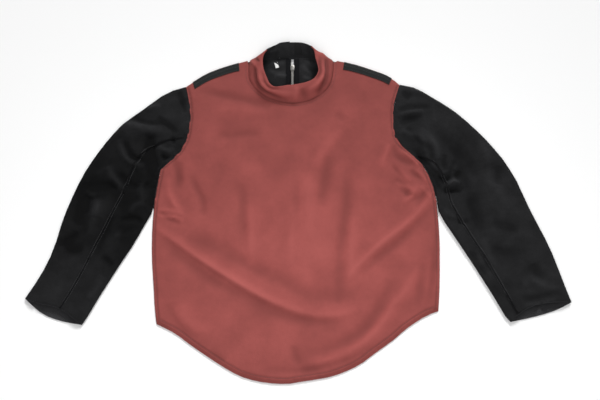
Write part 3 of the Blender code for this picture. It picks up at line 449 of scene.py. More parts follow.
# The rolled armhole seams go on past the armhole, down to the end of the underarm
ARMHOLE_ROLL_LEFT = (
    (-311, -14), (-309.5, 8), (-307, 28), (-304, 50), (-299.5, 73), *ARMHOLE_LEFT[1:-1],
    (-252, 269),
)
ARMHOLE_ROLL_RIGHT = (
    (297, 14), (296, 24), (293, 36), (289, 48), (284, 62), *ARMHOLE_RIGHT[:-1], (228, 274),
)
SHOULDER_LEFT = ((-252, 271), (-213, 299), (-182, 314), (-146, 327), (-111, 336))
SHOULDER_RIGHT = ((228, 276), (203, 297), (165, 313), (125, 327), (79, 336))
CUFF_LEFT = (
    (-445, -265), (-463, -253), (-483, -238), (-508, -228), (-534, -223), (-566, -212),
)
CUFF_RIGHT = (
    (438, -259), (457, -244), (477, -231), (503, -223), (536, -220), (566, -219),
)
CUFF_BACK_LEFT = ((-445, -265), (-481, -259), (-519, -247), (-540, -234), (-566, -212))
CUFF_BACK_RIGHT = ((438, -259), (489, -248), (533, -235), (566, -219))
# Guides of the raised seams between the upper and the under sleeves
SLEEVE_SEAM_LEFT = (
    (-320, 130), (-340, 85), (-361.6, 39.2), (-372.9, 14.2), (-401, -46.5), (-428.3, -108),
    (-455.5, -161.9), (-478.6, -208.4), (-489, -232),
)
SLEEVE_SEAM_RIGHT = (
    (290, 90), (309, 52), (327.3, 16.4), (346.4, -24.2), (365.3, -64.2), (383.6, -108),
    (407.7, -155.5), (429.4, -200), (446, -231),
)

# Corners of the label in plan, its lower edge first
LABEL = ((-51, 319), (-43.5, 320.5), (-47, 334), (-54.5, 332.5))

# The photo's camera, its lens in millimetres, and the light. Places are in metres
CAMERA_LENS = 50
CAMERA_ELEVATION = math.radians(72)
CAMERA_DISTANCE = 1.80
CAMERA_TARGET = (0.00405, 0.00545, 0)
SURFACE_HALF = 6.0
SKY_STRENGTH = 0.335
SUNS = {
    # direction that the light comes from, strength, softness in degrees
    "collar_side_light": ((0.25, 1.0, 0.80), 2.3, 18),
    "camera_side_light": ((-0.15, -0.75, 1.0), 0.6, 40),
}
BELLY_LIGHT_PLACE = (0.02, -0.26, 0.72)
BELLY_LIGHT_POWER = 2.0
BELLY_LIGHT_SIZE = 0.6

# Materials and search trees that are made once and used again
MATERIALS = {}
SHAPES = {}


def linear(hex_colour):
    """Linear red, green, blue and alpha from an sRGB hex value."""
    parts = [int(hex_colour[i:i + 2], 16) / 255 for i in (1, 3, 5)]
    return (*(c / 12.92 if c <= 0.04045 else ((c + 0.055) / 1.055) ** 2.4 for c in parts), 1)


class JacketSizes(bpy.types.PropertyGroup):
    """Sizes of the creases, the meshes, the stitches and the zip's teeth"""
    crease_depth: bpy.props.FloatProperty(
        name="Crease depth", default=1.0, min=0.0, max=1.3, subtype="FACTOR",
        description="How deep the creases are, as a share of those in the photo",
    )
    front_step: bpy.props.FloatProperty(
        name="Front mesh step", default=0.0065, min=0.003, max=0.02, unit="LENGTH",
        description="Longest edge in the mesh of the leather front",
    )
    sleeve_step: bpy.props.FloatProperty(
        name="Sleeve mesh step", default=0.0045, min=0.003, max=0.02, unit="LENGTH",
        description="Longest edge in the mesh of the sleeves",
    )
    stitch_pitch: bpy.props.FloatProperty(
        name="Stitch pitch", default=0.0036, min=0.002, max=0.01, unit="LENGTH",
        description="Distance from one stitch to the next",
    )
    stitch_length: bpy.props.FloatProperty(
        name="Stitch length", default=0.0028, min=0.001, max=0.008, unit="LENGTH",
        description="Length of thread that shows in one stitch",
    )
    thread: bpy.props.FloatProperty(
        name="Thread", default=0.0010, min=0.0003, max=0.002, unit="LENGTH",
        description="Thickness of the sewing thread",
    )
    tooth_pitch: bpy.props.FloatProperty(
        name="Tooth pitch", default=0.0022, min=0.001, max=0.004, unit="LENGTH",
        description="Distance from one zip tooth to the next on one side",
    )


class JacketColours(bpy.types.PropertyGroup):
    """Colours of the leather and the cotton"""
    leather: bpy.props.FloatVectorProperty(
        name="Leather", size=3, subtype="COLOR", default=linear("#924844")[:3],
        min=0, max=1, description="Brick red of the napped leather",
    )
    cotton: bpy.props.FloatVectorProperty(
        name="Cotton", size=3, subtype="COLOR", default=linear("#1f1f20")[:3],
        min=0, max=1, description="Black of the brushed cotton twill",
    )


def add_node(tree, kind, settings=None, links=None):
    """A node of this kind, with its properties and input values set and linked."""
    made = tree.nodes.new(kind)
    for key, value in (settings or {}).items():
        if isinstance(key, int) or key in made.inputs:
            made.inputs[key].default_value = value
        else:
            setattr(made, key, value)
    for key, socket in (links or {}).items():
        tree.links.new(socket, made.inputs[key])
    return made


def new_material(name, settings):
    """A material with one Principled shader that has these constant values."""
    mat = bpy.data.materials.new(name)
    mat.use_nodes = True
    shader = mat.node_tree.nodes["Principled BSDF"]
    for key, value in settings.items():
        shader.inputs[key].default_value = value
    return mat, mat.node_tree, shader


def step(x):
    """A smooth rise from 0 to 1 as x goes from 0 to 1."""
    x = np.clip(x, 0, 1)
    return x * x * (3 - 2 * x)


def directions(line):
    """Unit directions along a line, at its points."""
    way = np.gradient(line, axis=0)
    return way / np.linalg.norm(way, axis=1)[:, None]


def travelled(line):
    """Distance along a line from its start, at its points."""
    return np.concatenate([[0], np.cumsum(np.linalg.norm(np.diff(line, axis=0), axis=1))])


def spline(points, count):
    """Dense points of a smooth line through these points, equally many a stretch."""
    pts = np.asarray(points, float)
    pts = np.vstack([2 * pts[0] - pts[1], pts, 2 * pts[-1] - pts[-2]])
    t = np.linspace(0, 1, count, endpoint=False)[:, None]
    dense = []
    for a, b, c, d in zip(pts[:-3], pts[1:-2], pts[2:-1], pts[3:]):
        bend = 2 * a - 5 * b + 4 * c - d
        twist = -a + 3 * b - 3 * c + d
        dense.append(b + 0.5 * (t * (c - a) + t**2 * bend + t**3 * twist))
    dense.append(pts[-2][None])
    return np.vstack(dense)


def shifted(points, distance):
    """The line moved to its own right by the distance."""
    way = directions(points)
    return points + distance * np.stack([way[:, 1], -way[:, 0]], axis=1)


def evenly(points, spacing):
    """Points along a line at about this spacing."""
    length = travelled(points)
    at = np.linspace(0, length[-1], max(2, int(length[-1] / spacing) + 1))
    return np.stack([np.interp(at, length, axis) for axis in points.T], axis=-1)


def crease_height(x, y, creases):
    """Height of all the creases at the plan points."""
    total = np.zeros(len(x))
    for height, left, right, points in creases:
        line = spline(points, 6)
        length = travelled(line)
        way = directions(line)
        reach = 2.6 * max(left, right)
        low, high = line.min(axis=0) - reach, line.max(axis=0) + reach
        near = (x > low[0]) & (x < high[0]) & (y > low[1]) & (y < high[1])
        dx = x[near, None] - line[:, 0]
        dy = y[near, None] - line[:, 1]
        index = np.argmin(dx**2 + dy**2, axis=1)
        pick = np.arange(len(index)), index
        dx, dy, way = dx[pick], dy[pick], way[index]
        half = np.diff(length).max() / 2
        ahead = np.clip(dx * way[:, 0] + dy * way[:, 1], -half, half)
        away2 = np.maximum(dx**2 + dy**2 - ahead**2, 0)
        width = np.where(way[:, 0] * dy - way[:, 1] * dx > 0, left, right)
        place = np.clip((length[index] + ahead) / length[-1], 0, 1)
        ends = np.sqrt(np.sin(np.pi * np.clip(place, 0.001, 0.999)))
        total[near] += height * ends * np.exp(-away2 / width**2)
    return total


def ripple(x, y, size, seed):
    """Uneven waves of this size, about -1 to 1 high."""
    return np.array([
        noise.noise(Vector((a / size, b / size, seed))) for a, b in zip(x, y)
    ])


def swell_of(x, y, waves):
    """Soft uneven swell of the cloth, from waves of several sizes."""
    return sum(height * ripple(x, y, size, seed) for height, size, seed in waves)


def soft_floor(heights, lowest):
    """The heights, which level out softly where they would sink below the lowest."""
    return np.maximum(heights, lowest) + 0.3 * np.exp(-np.abs(heights - lowest) / 0.5)


def zip_rise(x, y):
    """How far the back and its zip are lifted over the slider."""
    reach = np.where(y > SLIDER_Y, RISE_TO_COLLAR, RISE_TO_HEM)
    r2 = ((x - ZIP_X) / RISE_HALF_WIDTH) ** 2 + ((y - SLIDER_Y) / reach) ** 2
    return RISE * np.clip(1 - r2, 0, 1) ** 2


def search_tree(meshes):
    """A search tree over several surfaces, in millimetres."""
    points, faces = [], []
    for mesh in meshes:
        shift = len(points)
        points += [vert.co / MM for vert in mesh.vertices]
        faces += [[shift + i for i in poly.vertices] for poly in mesh.polygons]
    return BVHTree.FromPolygons(points, faces)


def tree_of(*nodes):
    """A search tree over the CAD nodes' surfaces."""
    return search_tree([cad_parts[name].data for name in nodes])


def tree_over(*pieces):
    """A search tree over finished pieces."""
    return search_tree([bpy.data.objects[name].data for name in pieces])


def top_heights(tree, x, y, miss=np.nan):
    """Height of the highest surface under each plan point."""
    down = Vector((0, 0, -1))
    found = [tree.ray_cast(Vector((a, b, RAY_HIGH)), down)[0] for a, b in zip(x, y)]
    return np.array([miss if hit is None else hit.z for hit in found])


def tops(tree, co, miss):
    """Height of the highest surface at each point's plan place, or else the given one."""
    found = top_heights(tree, co[:, 0], co[:, 1])
    return np.where(np.isnan(found), miss, found)


def outline_tree():
    """A search tree over points along the whole jacket's outline in plan."""
    spacing, margin = 2.5, 6
    low, high = CAD_BOX
    x = np.arange(low[0] / MM - margin, high[0] / MM + margin, spacing)
    y = np.arange(low[1] / MM - margin, high[1] / MM + margin, spacing)
    gx, gy = np.meshgrid(x, y)
    heights = top_heights(tree_of(*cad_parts), gx.ravel(), gy.ravel(), 0.0)
    inside = heights.reshape(gx.shape) > 0
    edge = np.zeros_like(inside)
    edge[1:-1, 1:-1] = ~inside[1:-1, 1:-1] & (
        inside[2:, 1:-1] | inside[:-2, 1:-1] | inside[1:-1, 2:] | inside[1:-1, :-2]
    )
    return plan_tree(np.column_stack([gx[edge], gy[edge]]))


def plan_tree(points):
    """A search tree over points in plan."""
    tree = KDTree(len(points))
    for index, (x, y) in enumerate(points):
        tree.insert((x, y, 0), index)
    tree.balance()
    return tree


def distances(tree, x, y):
    """Distance in plan from each point to the nearest of the tree's."""
    return np.array([tree.find((a, b, 0))[2] for a, b in zip(x, y)])


def split_once(points, faces, limit):
    """The triangles with each edge that is longer than the limit there cut in half."""
    ends = np.sort(faces[:, [[0, 1], [1, 2], [2, 0]]], axis=-1).reshape(-1, 2)
    keys, index = np.unique(ends[:, 0] * len(points) + ends[:, 1], return_inverse=True)
    a, b = keys // len(points), keys % len(points)
    halfway = (points[a] + points[b]) / 2
    cut = np.linalg.norm(points[a] - points[b], axis=1) > limit(halfway)
    middle = np.full(len(keys), -1)
    middle[cut] = len(points) + np.arange(cut.sum())
    points = np.vstack([points, halfway[cut]])
    middle = middle[index].reshape(-1, 3)
    count = (middle >= 0).sum(axis=1)
    made = [faces[count == 0]]
    whole, mids = faces[count == 3], middle[count == 3]
    for corners in ((whole[:, 0], mids[:, 0], mids[:, 2]), (mids[:, 0], whole[:, 1], mids[:, 1]),
                    (mids[:, 2], mids[:, 1], whole[:, 2]), mids.T):
        made.append(np.column_stack(corners))
    for turn in range(3):
        order = [turn, (turn + 1) % 3, (turn + 2) % 3]
        one = (count == 1) & (middle[:, turn] >= 0)
        (p, q, r), m = faces[one][:, order].T, middle[one, turn]
        made += [np.column_stack([p, m, r]), np.column_stack([m, q, r])]
        two = (count == 2) & (middle[:, order[2]] < 0)
        (p, q, r), (m, n, _) = faces[two][:, order].T, middle[two][:, order].T
        short = np.linalg.norm(points[p] - points[n], axis=1) < np.linalg.norm(
            points[m] - points[r], axis=1)
        made.append(np.column_stack([m, q, n]))
        made.append(np.column_stack([p, m, np.where(short, n, r)]))
        made.append(np.column_stack([np.where(short, p, m), n, r]))
    return points, np.vstack(made), cut.sum()


def refined(name, limit):
    """A node's surface in triangles whose edges keep to a limit, a number or a function."""
    bm = bmesh.new()
    bm.from_mesh(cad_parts[name].data)
    bmesh.ops.remove_doubles(bm, verts=bm.verts, dist=1e-5)
    bmesh.ops.triangulate(bm, faces=bm.faces)
    points = np.array([vert.co for vert in bm.verts]) / MM
    bm.verts.index_update()
    faces = np.array([[vert.index for vert in face.verts] for face in bm.faces])
    bm.free()
    limit_at = limit if callable(limit) else (lambda places: limit)
    more = len(faces)
    while more > len(faces) / 2000:
        points, faces, more = split_once(points, faces, limit_at)
    return points, faces


def placed(name, mesh, body="jacket"):
    """The object of a finished mesh, riding on its body."""
    obj = bpy.data.objects.new(name, mesh)
    bpy.context.scene.collection.objects.link(obj)
    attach(obj, body)
    return obj


def finished(name, points, faces, slot, mat=None, angle=40):
    """The object of a surface given in millimetres, of cloth if no material is given."""
    mesh = bpy.data.meshes.new(name)
    mesh.from_pydata((np.asarray(points) * MM).tolist(), [], np.asarray(faces).tolist())
    mesh.materials.append(mat or cloth(slot))
    mesh.shade_smooth()
    mesh.set_sharp_from_angle(angle=math.radians(angle))
    return placed(name, mesh)


def add_grain(obj, turn):
    """UV coordinates in metres, turned so that V follows the piece's grain."""
    mesh = obj.data
    layer = mesh.uv_layers.new(name="grain")
    co = np.empty(len(mesh.vertices) * 3)
    mesh.vertices.foreach_get("co", co)
    co = co.reshape(-1, 3)
    index = np.empty(len(mesh.loops), int)
    mesh.loops.foreach_get("vertex_index", index)
    c, s = math.cos(turn), math.sin(turn)
    u = co[index, 0] * c + co[index, 1] * s
    v = -co[index, 0] * s + co[index, 1] * c
    layer.data.foreach_set("uv", np.column_stack([u, v]).ravel())


def add_value(obj, name, values):
    """A number for each corner of the mesh, which its material reads."""
    data = obj.data.attributes.new(name, "FLOAT", "POINT").data
    data.foreach_set("value", np.asarray(values, float))


def leather_material():
    """Napped split leather: matt, softly mottled, painted paler on crests and darker in hollows."""
    mat, tree, shader = new_material("napped_split_leather", {
        "Roughness": 0.82, "IOR": 1.45, "Specular IOR Level": 0.25,
        "Sheen Weight": 0.12, "Sheen Roughness": 0.4, "Sheen Tint": (0.9, 0.45, 0.4, 1),
    })
    place = add_node(tree, "ShaderNodeTexCoord").outputs["Object"]
    # Patches of darker dye, 45 mm and 10 mm across. The nap is drawn 2.2 mm coarse, where
    # a real one is under 1 mm, so that it shows
    patches = add_node(tree, "ShaderNodeTexNoise", {
        "Scale": 1 / 0.045, "Detail": 2.0, "Roughness": 0.5}, {"Vector": place})
    flecks = add_node(tree, "ShaderNodeTexNoise", {
        "Scale": 1 / 0.010, "Detail": 5.0, "Roughness": 0.65}, {"Vector": place})
    nap = add_node(tree, "ShaderNodeTexNoise", {
        "Scale": 1 / 0.0022, "Detail": 4.0, "Roughness": 0.6}, {"Vector": place})
    red = bpy.context.scene.jacket_colours.leather
    deep = tuple(0.89 * c for c in red)
    pale = tuple(min(1.0, 1.09 * c + 0.002) for c in red)
    tone = add_node(tree, "ShaderNodeMath", {"operation": "MULTIPLY_ADD", 1: 0.28}, {
        0: flecks.outputs["Fac"], 2: add_node(
            tree, "ShaderNodeMath", {"operation": "MULTIPLY_ADD", 1: 0.48}, {
                0: patches.outputs["Fac"],
                2: add_node(tree, "ShaderNodeMath", {"operation": "MULTIPLY", 1: 0.10},
                            {0: nap.outputs["Fac"]}).outputs[0],
            }).outputs[0]})
    ramp = add_node(tree, "ShaderNodeMapRange", {
        "From Min": 0.29, "From Max": 0.57}, {"Value": tone.outputs[0]})
    dye = add_node(tree, "ShaderNodeMix", {"data_type": "RGBA", 6: (*deep, 1), 7: (*pale, 1)},
                   {"Factor": ramp.outputs["Result"]})
    light_and_tone_value = add_node(tree, "ShaderNodeAttribute", {"attribute_name": "painted_light_and_tone"})
    brightness_factor = add_node(tree, "ShaderNodeMapRange", {
        "From Min": 0.4, "From Max": 6.0, "To Max": 0.8}, {"Value": light_and_tone_value.outputs["Fac"]})
    # Painted shade: darker in the troughs, the stitch grooves and the collar's foot
    painted_shade_share = add_node(tree, "ShaderNodeMapRange", {
        "From Min": 0.3, "From Max": -4.2, "To Max": 0.9}, {"Value": light_and_tone_value.outputs["Fac"]})
    sunk = add_node(tree, "ShaderNodeMix", {
        "data_type": "RGBA", 7: (*(0.56 * c for c in red), 1)},
        {"Factor": painted_shade_share.outputs["Result"], 6: dye.outputs[2]})
    # Painted highlight: paler on the crests, the swell, the belly and where the collar faces the
    # viewer
    final = add_node(tree, "ShaderNodeMix", {
        "data_type": "RGBA", 7: (*(min(1.0, 1.35 * c + 0.01) for c in red), 1)},
        {"Factor": brightness_factor.outputs["Result"], 6: sunk.outputs[2]})
    tree.links.new(final.outputs[2], shader.inputs["Base Color"])
    bump = add_node(tree, "ShaderNodeBump", {"Strength": 0.5, "Distance": 0.0006},
                    {"Height": nap.outputs["Fac"]})
    swell = add_node(tree, "ShaderNodeBump", {"Strength": 0.22, "Distance": 0.0012},
                     {"Height": flecks.outputs["Fac"], "Normal": bump.outputs["Normal"]})
    tree.links.new(swell.outputs["Normal"], shader.inputs["Normal"])
    return mat


def cotton_material():
    """Brushed cotton twill: black and matt, with fine slanted ribs and a dusty nap."""
    mat, tree, shader = new_material("brushed_cotton_twill", {
        "Roughness": 0.92, "IOR": 1.45, "Specular IOR Level": 0.12,
        "Sheen Weight": 0.04, "Sheen Roughness": 0.5, "Sheen Tint": (0.75, 0.77, 0.85, 1),
    })
    grain = add_node(tree, "ShaderNodeUVMap", {"uv_map": "grain"}).outputs["UV"]
    place = add_node(tree, "ShaderNodeTexCoord").outputs["Object"]
    # Twill ribs drawn 1.4 mm apart, about twice as coarse as real ones, so they show. Dust
    # lies in patches 35 mm across, and lint is drawn 3 mm long
    turned = add_node(tree, "ShaderNodeMapping", {"Rotation": (0, 0, math.radians(63))},
                      {"Vector": grain})
    ribs = add_node(tree, "ShaderNodeTexWave", {
        "Scale": 1 / 0.0014 * math.pi / 10, "Distortion": 1.2, "Detail": 2.0,
        "Detail Scale": 2.0}, {"Vector": turned.outputs["Vector"]})
    uneven_tone = add_node(tree, "ShaderNodeTexNoise", {
        "Scale": 1 / 0.035, "Detail": 6.0, "Roughness": 0.7}, {"Vector": place})
    lint = add_node(tree, "ShaderNodeTexNoise", {
        "Scale": 1 / 0.003, "Detail": 4.0, "Roughness": 0.7}, {"Vector": place})
    black = bpy.context.scene.jacket_colours.cotton
    tone = add_node(tree, "ShaderNodeMath", {"operation": "MULTIPLY_ADD", 1: 0.5}, {
        0: lint.outputs["Fac"], 2: uneven_tone.outputs["Fac"]})
    spread = add_node(tree, "ShaderNodeMapRange", {
        "From Min": 0.55, "From Max": 1.0}, {"Value": tone.outputs[0]})
    dye = add_node(tree, "ShaderNodeMix", {
        "data_type": "RGBA", 6: (*(0.75 * c for c in black), 1),
        7: (*(1.35 * c for c in black), 1)}, {"Factor": spread.outputs["Result"]})
    # Painted light and shade: the crests are drawn greyer and the hollows deep black, the
    # sleeves' lower layer paler in the upper layer's shadow, and the sleeves' tone scales it too
    light_and_tone_value = add_node(tree, "ShaderNodeAttribute", {"attribute_name": "painted_light_and_tone"})
    brightness_factor = add_node(tree, "ShaderNodeMapRange", {
        "From Min": -6.0, "From Max": 10.0, "To Min": 0.2, "To Max": 2.8},
        {"Value": light_and_tone_value.outputs["Fac"]})
    final = add_node(tree, "ShaderNodeVectorMath", {"operation": "SCALE"}, {
        0: dye.outputs[2], "Scale": brightness_factor.outputs["Result"]})
    tree.links.new(final.outputs[0], shader.inputs["Base Color"])
    weave = add_node(tree, "ShaderNodeBump", {"Strength": 0.5, "Distance": 0.0004},
                     {"Height": ribs.outputs["Fac"]})
    fuzz = add_node(tree, "ShaderNodeBump", {"Strength": 0.5, "Distance": 0.0006},
                    {"Height": lint.outputs["Fac"], "Normal": weave.outputs["Normal"]})
    tree.links.new(fuzz.outputs["Normal"], shader.inputs["Normal"])
    return mat


def thread_material(name, hex_colour):
    """Spun polyester thread: a soft shine along each stitch."""
    mat, tree, shader = new_material(name, {
        "Roughness": 0.6, "IOR": 1.5, "Sheen Weight": 0.15})
    place = add_node(tree, "ShaderNodeTexCoord").outputs["Object"]
    # The thread's twist, drawn 0.8 mm long, about twice the real one
    twist = add_node(tree, "ShaderNodeTexNoise", {"Scale": 1 / 0.0008, "Detail": 2.0},
                     {"Vector": place})
    colour = linear(hex_colour)
    dye = add_node(tree, "ShaderNodeMix", {
        "data_type": "RGBA", 6: (*(0.75 * c for c in colour[:3]), 1), 7: colour},
        {"Factor": twist.outputs["Fac"]})
    tree.links.new(dye.outputs[2], shader.inputs["Base Color"])
    return mat


def hook_and_loop_material(name="hook_and_loop_pile", pale="#1c1e1e", deep="#0c0d0d"):
    """Hook-and-loop tape: a dense, dull pile that catches a little light."""
    mat, tree, shader = new_material(name, {
        "Roughness": 0.85, "IOR": 1.5, "Specular IOR Level": 0.3,
        "Sheen Weight": 0.08, "Sheen Roughness": 0.4})
    place = add_node(tree, "ShaderNodeTexCoord").outputs["Object"]
    # Loops drawn 1.6 mm across, about twice as coarse as real ones, so they show
    pile = add_node(tree, "ShaderNodeTexVoronoi", {"Scale": 1 / 0.0016}, {"Vector": place})
    tufts = add_node(tree, "ShaderNodeTexNoise", {"Scale": 1 / 0.006, "Detail": 4.0},
                     {"Vector": place})
    mixed = add_node(tree, "ShaderNodeMath", {"operation": "MULTIPLY"}, {
        0: pile.outputs["Distance"], 1: tufts.outputs["Fac"]})
    dye = add_node(tree, "ShaderNodeMix", {
        "data_type": "RGBA", 6: linear(pale), 7: linear(deep)},
        {"Factor": mixed.outputs[0]})
    tree.links.new(dye.outputs[2], shader.inputs["Base Color"])
    bump = add_node(tree, "ShaderNodeBump",
                    {"Strength": 0.8, "Distance": 0.001, "invert": True},
                    {"Height": mixed.outputs[0]})
    tree.links.new(bump.outputs["Normal"], shader.inputs["Normal"])
    return mat


def zip_tape_material():
    """Woven zip tape: flat, black and matt, with fine slanted ribs."""
    mat, tree, shader = new_material("woven_zip_tape", {
        "Roughness": 0.8, "IOR": 1.5, "Specular IOR Level": 0.12})
    place = add_node(tree, "ShaderNodeTexCoord").outputs["Object"]
    turned = add_node(tree, "ShaderNodeMapping", {"Rotation": (0, 0, math.radians(45))},
                      {"Vector": place})
    # Threads 1 mm apart, drawn a little coarser than real ones
    ribs = add_node(tree, "ShaderNodeTexWave", {
        "Scale": 1 / 0.001 * math.pi / 10, "Distortion": 0.6}, {
        "Vector": turned.outputs["Vector"]})
    dye = add_node(tree, "ShaderNodeMix", {
        "data_type": "RGBA", 6: linear("#0a0a0c"), 7: linear("#111114")},
        {"Factor": ribs.outputs["Fac"]})
    tree.links.new(dye.outputs[2], shader.inputs["Base Color"])
    bump = add_node(tree, "ShaderNodeBump", {"Strength": 0.5, "Distance": 0.0003},
                    {"Height": ribs.outputs["Fac"]})
    tree.links.new(bump.outputs["Normal"], shader.inputs["Normal"])
    return mat


def nickel_material(name="nickel_plated_zinc", deep="#908e8a", pale="#b4b2ad"):
    """Nickel plate: a soft silver with fine rubbing marks."""
    mat, tree, shader = new_material(name, {"Metallic": 1.0})
    place = add_node(tree, "ShaderNodeTexCoord").outputs["Object"]
    # Rubbing marks drawn 1.5 mm across, a few times as coarse as real ones
    marks = add_node(tree, "ShaderNodeTexNoise", {"Scale": 1 / 0.0015, "Detail": 5.0},
                     {"Vector": place})
    tone = add_node(tree, "ShaderNodeMix", {
        "data_type": "RGBA", 6: linear(deep), 7: linear(pale)},
        {"Factor": marks.outputs["Fac"]})
    gloss = add_node(tree, "ShaderNodeMapRange", {"To Min": 0.24, "To Max": 0.42},
                     {"Value": marks.outputs["Fac"]})
    tree.links.new(tone.outputs[2], shader.inputs["Base Color"])
    tree.links.new(gloss.outputs["Result"], shader.inputs["Roughness"])
    return mat


def label_material():
    """Woven satin label, white and blank."""
    mat, tree, shader = new_material("woven_white_satin", {
        "Roughness": 0.55, "IOR": 1.5, "Sheen Weight": 0.1})
    place = add_node(tree, "ShaderNodeTexCoord").outputs["Object"]
    # Ribs drawn 0.8 mm apart, a few times as coarse as a real label's
    ribs = add_node(tree, "ShaderNodeTexWave", {
        "Scale": 1 / 0.0008 * math.pi / 10, "Distortion": 0.5}, {"Vector": place})
    dye = add_node(tree, "ShaderNodeMix", {
        "data_type": "RGBA", 6: linear("#dedede"), 7: linear("#f4f4f2")},
        {"Factor": ribs.outputs["Fac"]})
    tree.links.new(dye.outputs[2], shader.inputs["Base Color"])
    bump = add_node(tree, "ShaderNodeBump", {"Strength": 0.4, "Distance": 0.0002},
                    {"Height": ribs.outputs["Fac"]})
    tree.links.new(bump.outputs["Normal"], shader.inputs["Normal"])
    return mat


def kept(name, make):
    """The material of this name, made on its first use."""
    if name not in MATERIALS:
        MATERIALS[name] = make()
    return MATERIALS[name]


def cloth(slot):
    """The leather or the cotton."""
    return kept(slot, leather_material if slot == "leather" else cotton_material)


def stitch_rows():
    """The leather's rows of stitches in plan: along the hem, the sides and the armholes."""
    tables = (
        (HEM, -HEM_ROW), (SIDE_LEFT, SIDE_ROW), (SIDE_RIGHT, -SIDE_ROW),
        (ARMHOLE_LEFT, ARMHOLE_ROW), (ARMHOLE_RIGHT, -ARMHOLE_ROW),
    )
    return [evenly(shifted(spline(table, 16), inset), 4.0)[1:-1] for table, inset in tables]


def neck_line():
    """The seam in plan where the collar is sewn on the leather."""
    return spline([row[:2] for row in COLLAR[NECK_STATIONS]], 16)


def cell_of(places):
    """Row and column of the grid's cell that each place lies in, in plan."""
    return ((places[:, :2] - GRID_CORNER) / CELL).astype(int).T


def prepared():
    """Search trees over the outline, the front, the neck seam and the rows of stitches."""
    if not SHAPES:
        SHAPES["edge"] = outline_tree()
        front = np.array([vert.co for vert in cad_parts["front"].data.vertices]) / MM
        SHAPES["body"] = plan_tree(front[:, :2])
        neck = evenly(neck_line(), 1.0)
        SHAPES["neck"] = plan_tree(neck)
        stitched = np.vstack([evenly(row, 1.5) for row in stitch_rows()])
        SHAPES["stitched"] = plan_tree(stitched)
        SHAPES["fine"] = np.zeros(CELLS, bool)
        for i, j in cell_of(np.vstack([stitched, neck])).T:
            SHAPES["fine"][i - 1:i + 2, j - 1:j + 2] = True
    return SHAPES


def front_limit(places):
    """Longest edge of the front's mesh here: short along the stitches and the neck."""
    longest = bpy.context.scene.jacket_sizes.front_step / MM
    near = prepared()["fine"][tuple(cell_of(places))]
    plain = np.where(places[:, 2] > FRONT_SHOWN, longest, 1.25 * longest)
    return np.where(near, 0.5 * longest, plain)


def front_lift(x, y, top):
    """How far the front moves from the solid's height to its creased one, and its painted light and
    shade.
    """
    shapes = prepared()
    depth = bpy.context.scene.jacket_sizes.crease_depth
    over_zip = ZIP_LIFT * np.exp(-(((x - ZIP_X) / ZIP_LIFT_WIDTH) ** 2))
    from_neck = distances(shapes["neck"], x, y)
    folds = FRONT_GAIN * crease_height(x, y, FRONT_CREASES) * depth
    folds *= step(from_neck / NECK_CALM)
    swell = swell_of(x, y, FRONT_SWELL)
    mid = FRONT_MID + over_zip + NECK_PUFF
    mid += (FRONT_PUFF - NECK_PUFF) * step(from_neck / NECK_FLAT)
    mid = soft_floor(mid + (folds + swell), FRONT_LOWEST)
    share = step(distances(shapes["edge"], x, y) / FRONT_EDGE)
    groove = np.exp(-((distances(shapes["stitched"], x, y) / STITCH_HALF_WIDTH) ** 2))
    rise = share * (mid + LEATHER / 2 - top) - STITCH_SINK * groove
    rise += NECK_ROLL * np.exp(-((from_neck / NECK_ROLL_HALF_WIDTH) ** 2))
    # Painted light and shade: the crests, the swell and the belly are drawn paler, and the
    # troughs, the stitch grooves and the neck's lower edge darker, where shade falls
    belly_x, belly_y, half_width, half_length = BELLY
    belly = np.exp(-(((x - belly_x) / half_width) ** 2) - ((y - belly_y) / half_length) ** 2)
    painted_light_and_tone = 0.75 * folds + 1.6 * swell + 2.5 * belly - 1.3 - 1.8 * groove
    painted_light_and_tone -= (0.4 + 2.0 * step((305 - y) / 40)) * np.exp(-((from_neck / 4) ** 2))
    return rise, painted_light_and_tone


def distance_from_cuff(side, x, y):
    """Distance up the sleeve from its cuff."""
    (ax, ay), (nx, ny) = CUFFS[side]
    return (x - ax) * nx + (y - ay) * ny


def sleeve_lift(side, x, y, top):
    """How far a sleeve's upper layer moves to its creased height, and its painted light and shade
    with its tone along the sleeve.
    """
    shapes = prepared()
    depth = bpy.context.scene.jacket_sizes.crease_depth
    creases = LEFT_SLEEVE_CREASES if side == "left" else RIGHT_SLEEVE_CREASES
    from_cuff = distance_from_cuff(side, x, y)
    from_body = distances(shapes["body"], x, y)
    folds = SLEEVE_GAIN * crease_height(x, y, creases) * depth
    swell = swell_of(x, y, SLEEVE_SWELL)
    puff = (SLEEVE_MID - FRONT_MID) * step(from_body / BODY_CALM)
    pressed = CUFF_PRESSED * step(1 - from_cuff / CUFF_CALM)
    mid = soft_floor(FRONT_MID + (puff + folds + swell) * (1 - pressed), SLEEVE_LOWEST)
    share = step(distances(shapes["edge"], x, y) / SLEEVE_EDGE)
    uneven_tone = np.interp(from_cuff, SLEEVE_TONE_FROM_CUFF, SLEEVE_TONE[side])
    # Painted light and shade: crests paler and troughs darker, over the tone along the sleeve
    return share * (mid + COTTON / 2 - top), 0.45 * folds + 1.3 * swell + uneven_tone


def raised(co, rise):
    """The points moved up by their rise."""
    return co + np.column_stack([np.zeros((len(co), 2)), rise])


def make_front():
    """The leather front, creased and sewn."""
    co, faces = refined("front", front_limit)
    top = tops(tree_of("front"), co, co[:, 2])
    rise, painted_light_and_tone = front_lift(co[:, 0], co[:, 1], top)
    co = raised(co, rise)
    # The neck's edge is drawn in by up to 1.7 mm under the collar's foot, so no gap shows
    drawn_in, reach = 1.7, 3.6
    for point in co:
        spot, _, away = prepared()["neck"].find((point[0], point[1], 0))
        if away < 8:
            share = drawn_in * math.exp(-((away / reach) ** 2)) / max(away, 0.4)
            point[:2] += (np.array(spot[:2]) - point[:2]) * min(share, 1.0)
    obj = finished("leather_front", co, faces, "leather")
    add_value(obj, "painted_light_and_tone", painted_light_and_tone)
    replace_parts(obj, "front")


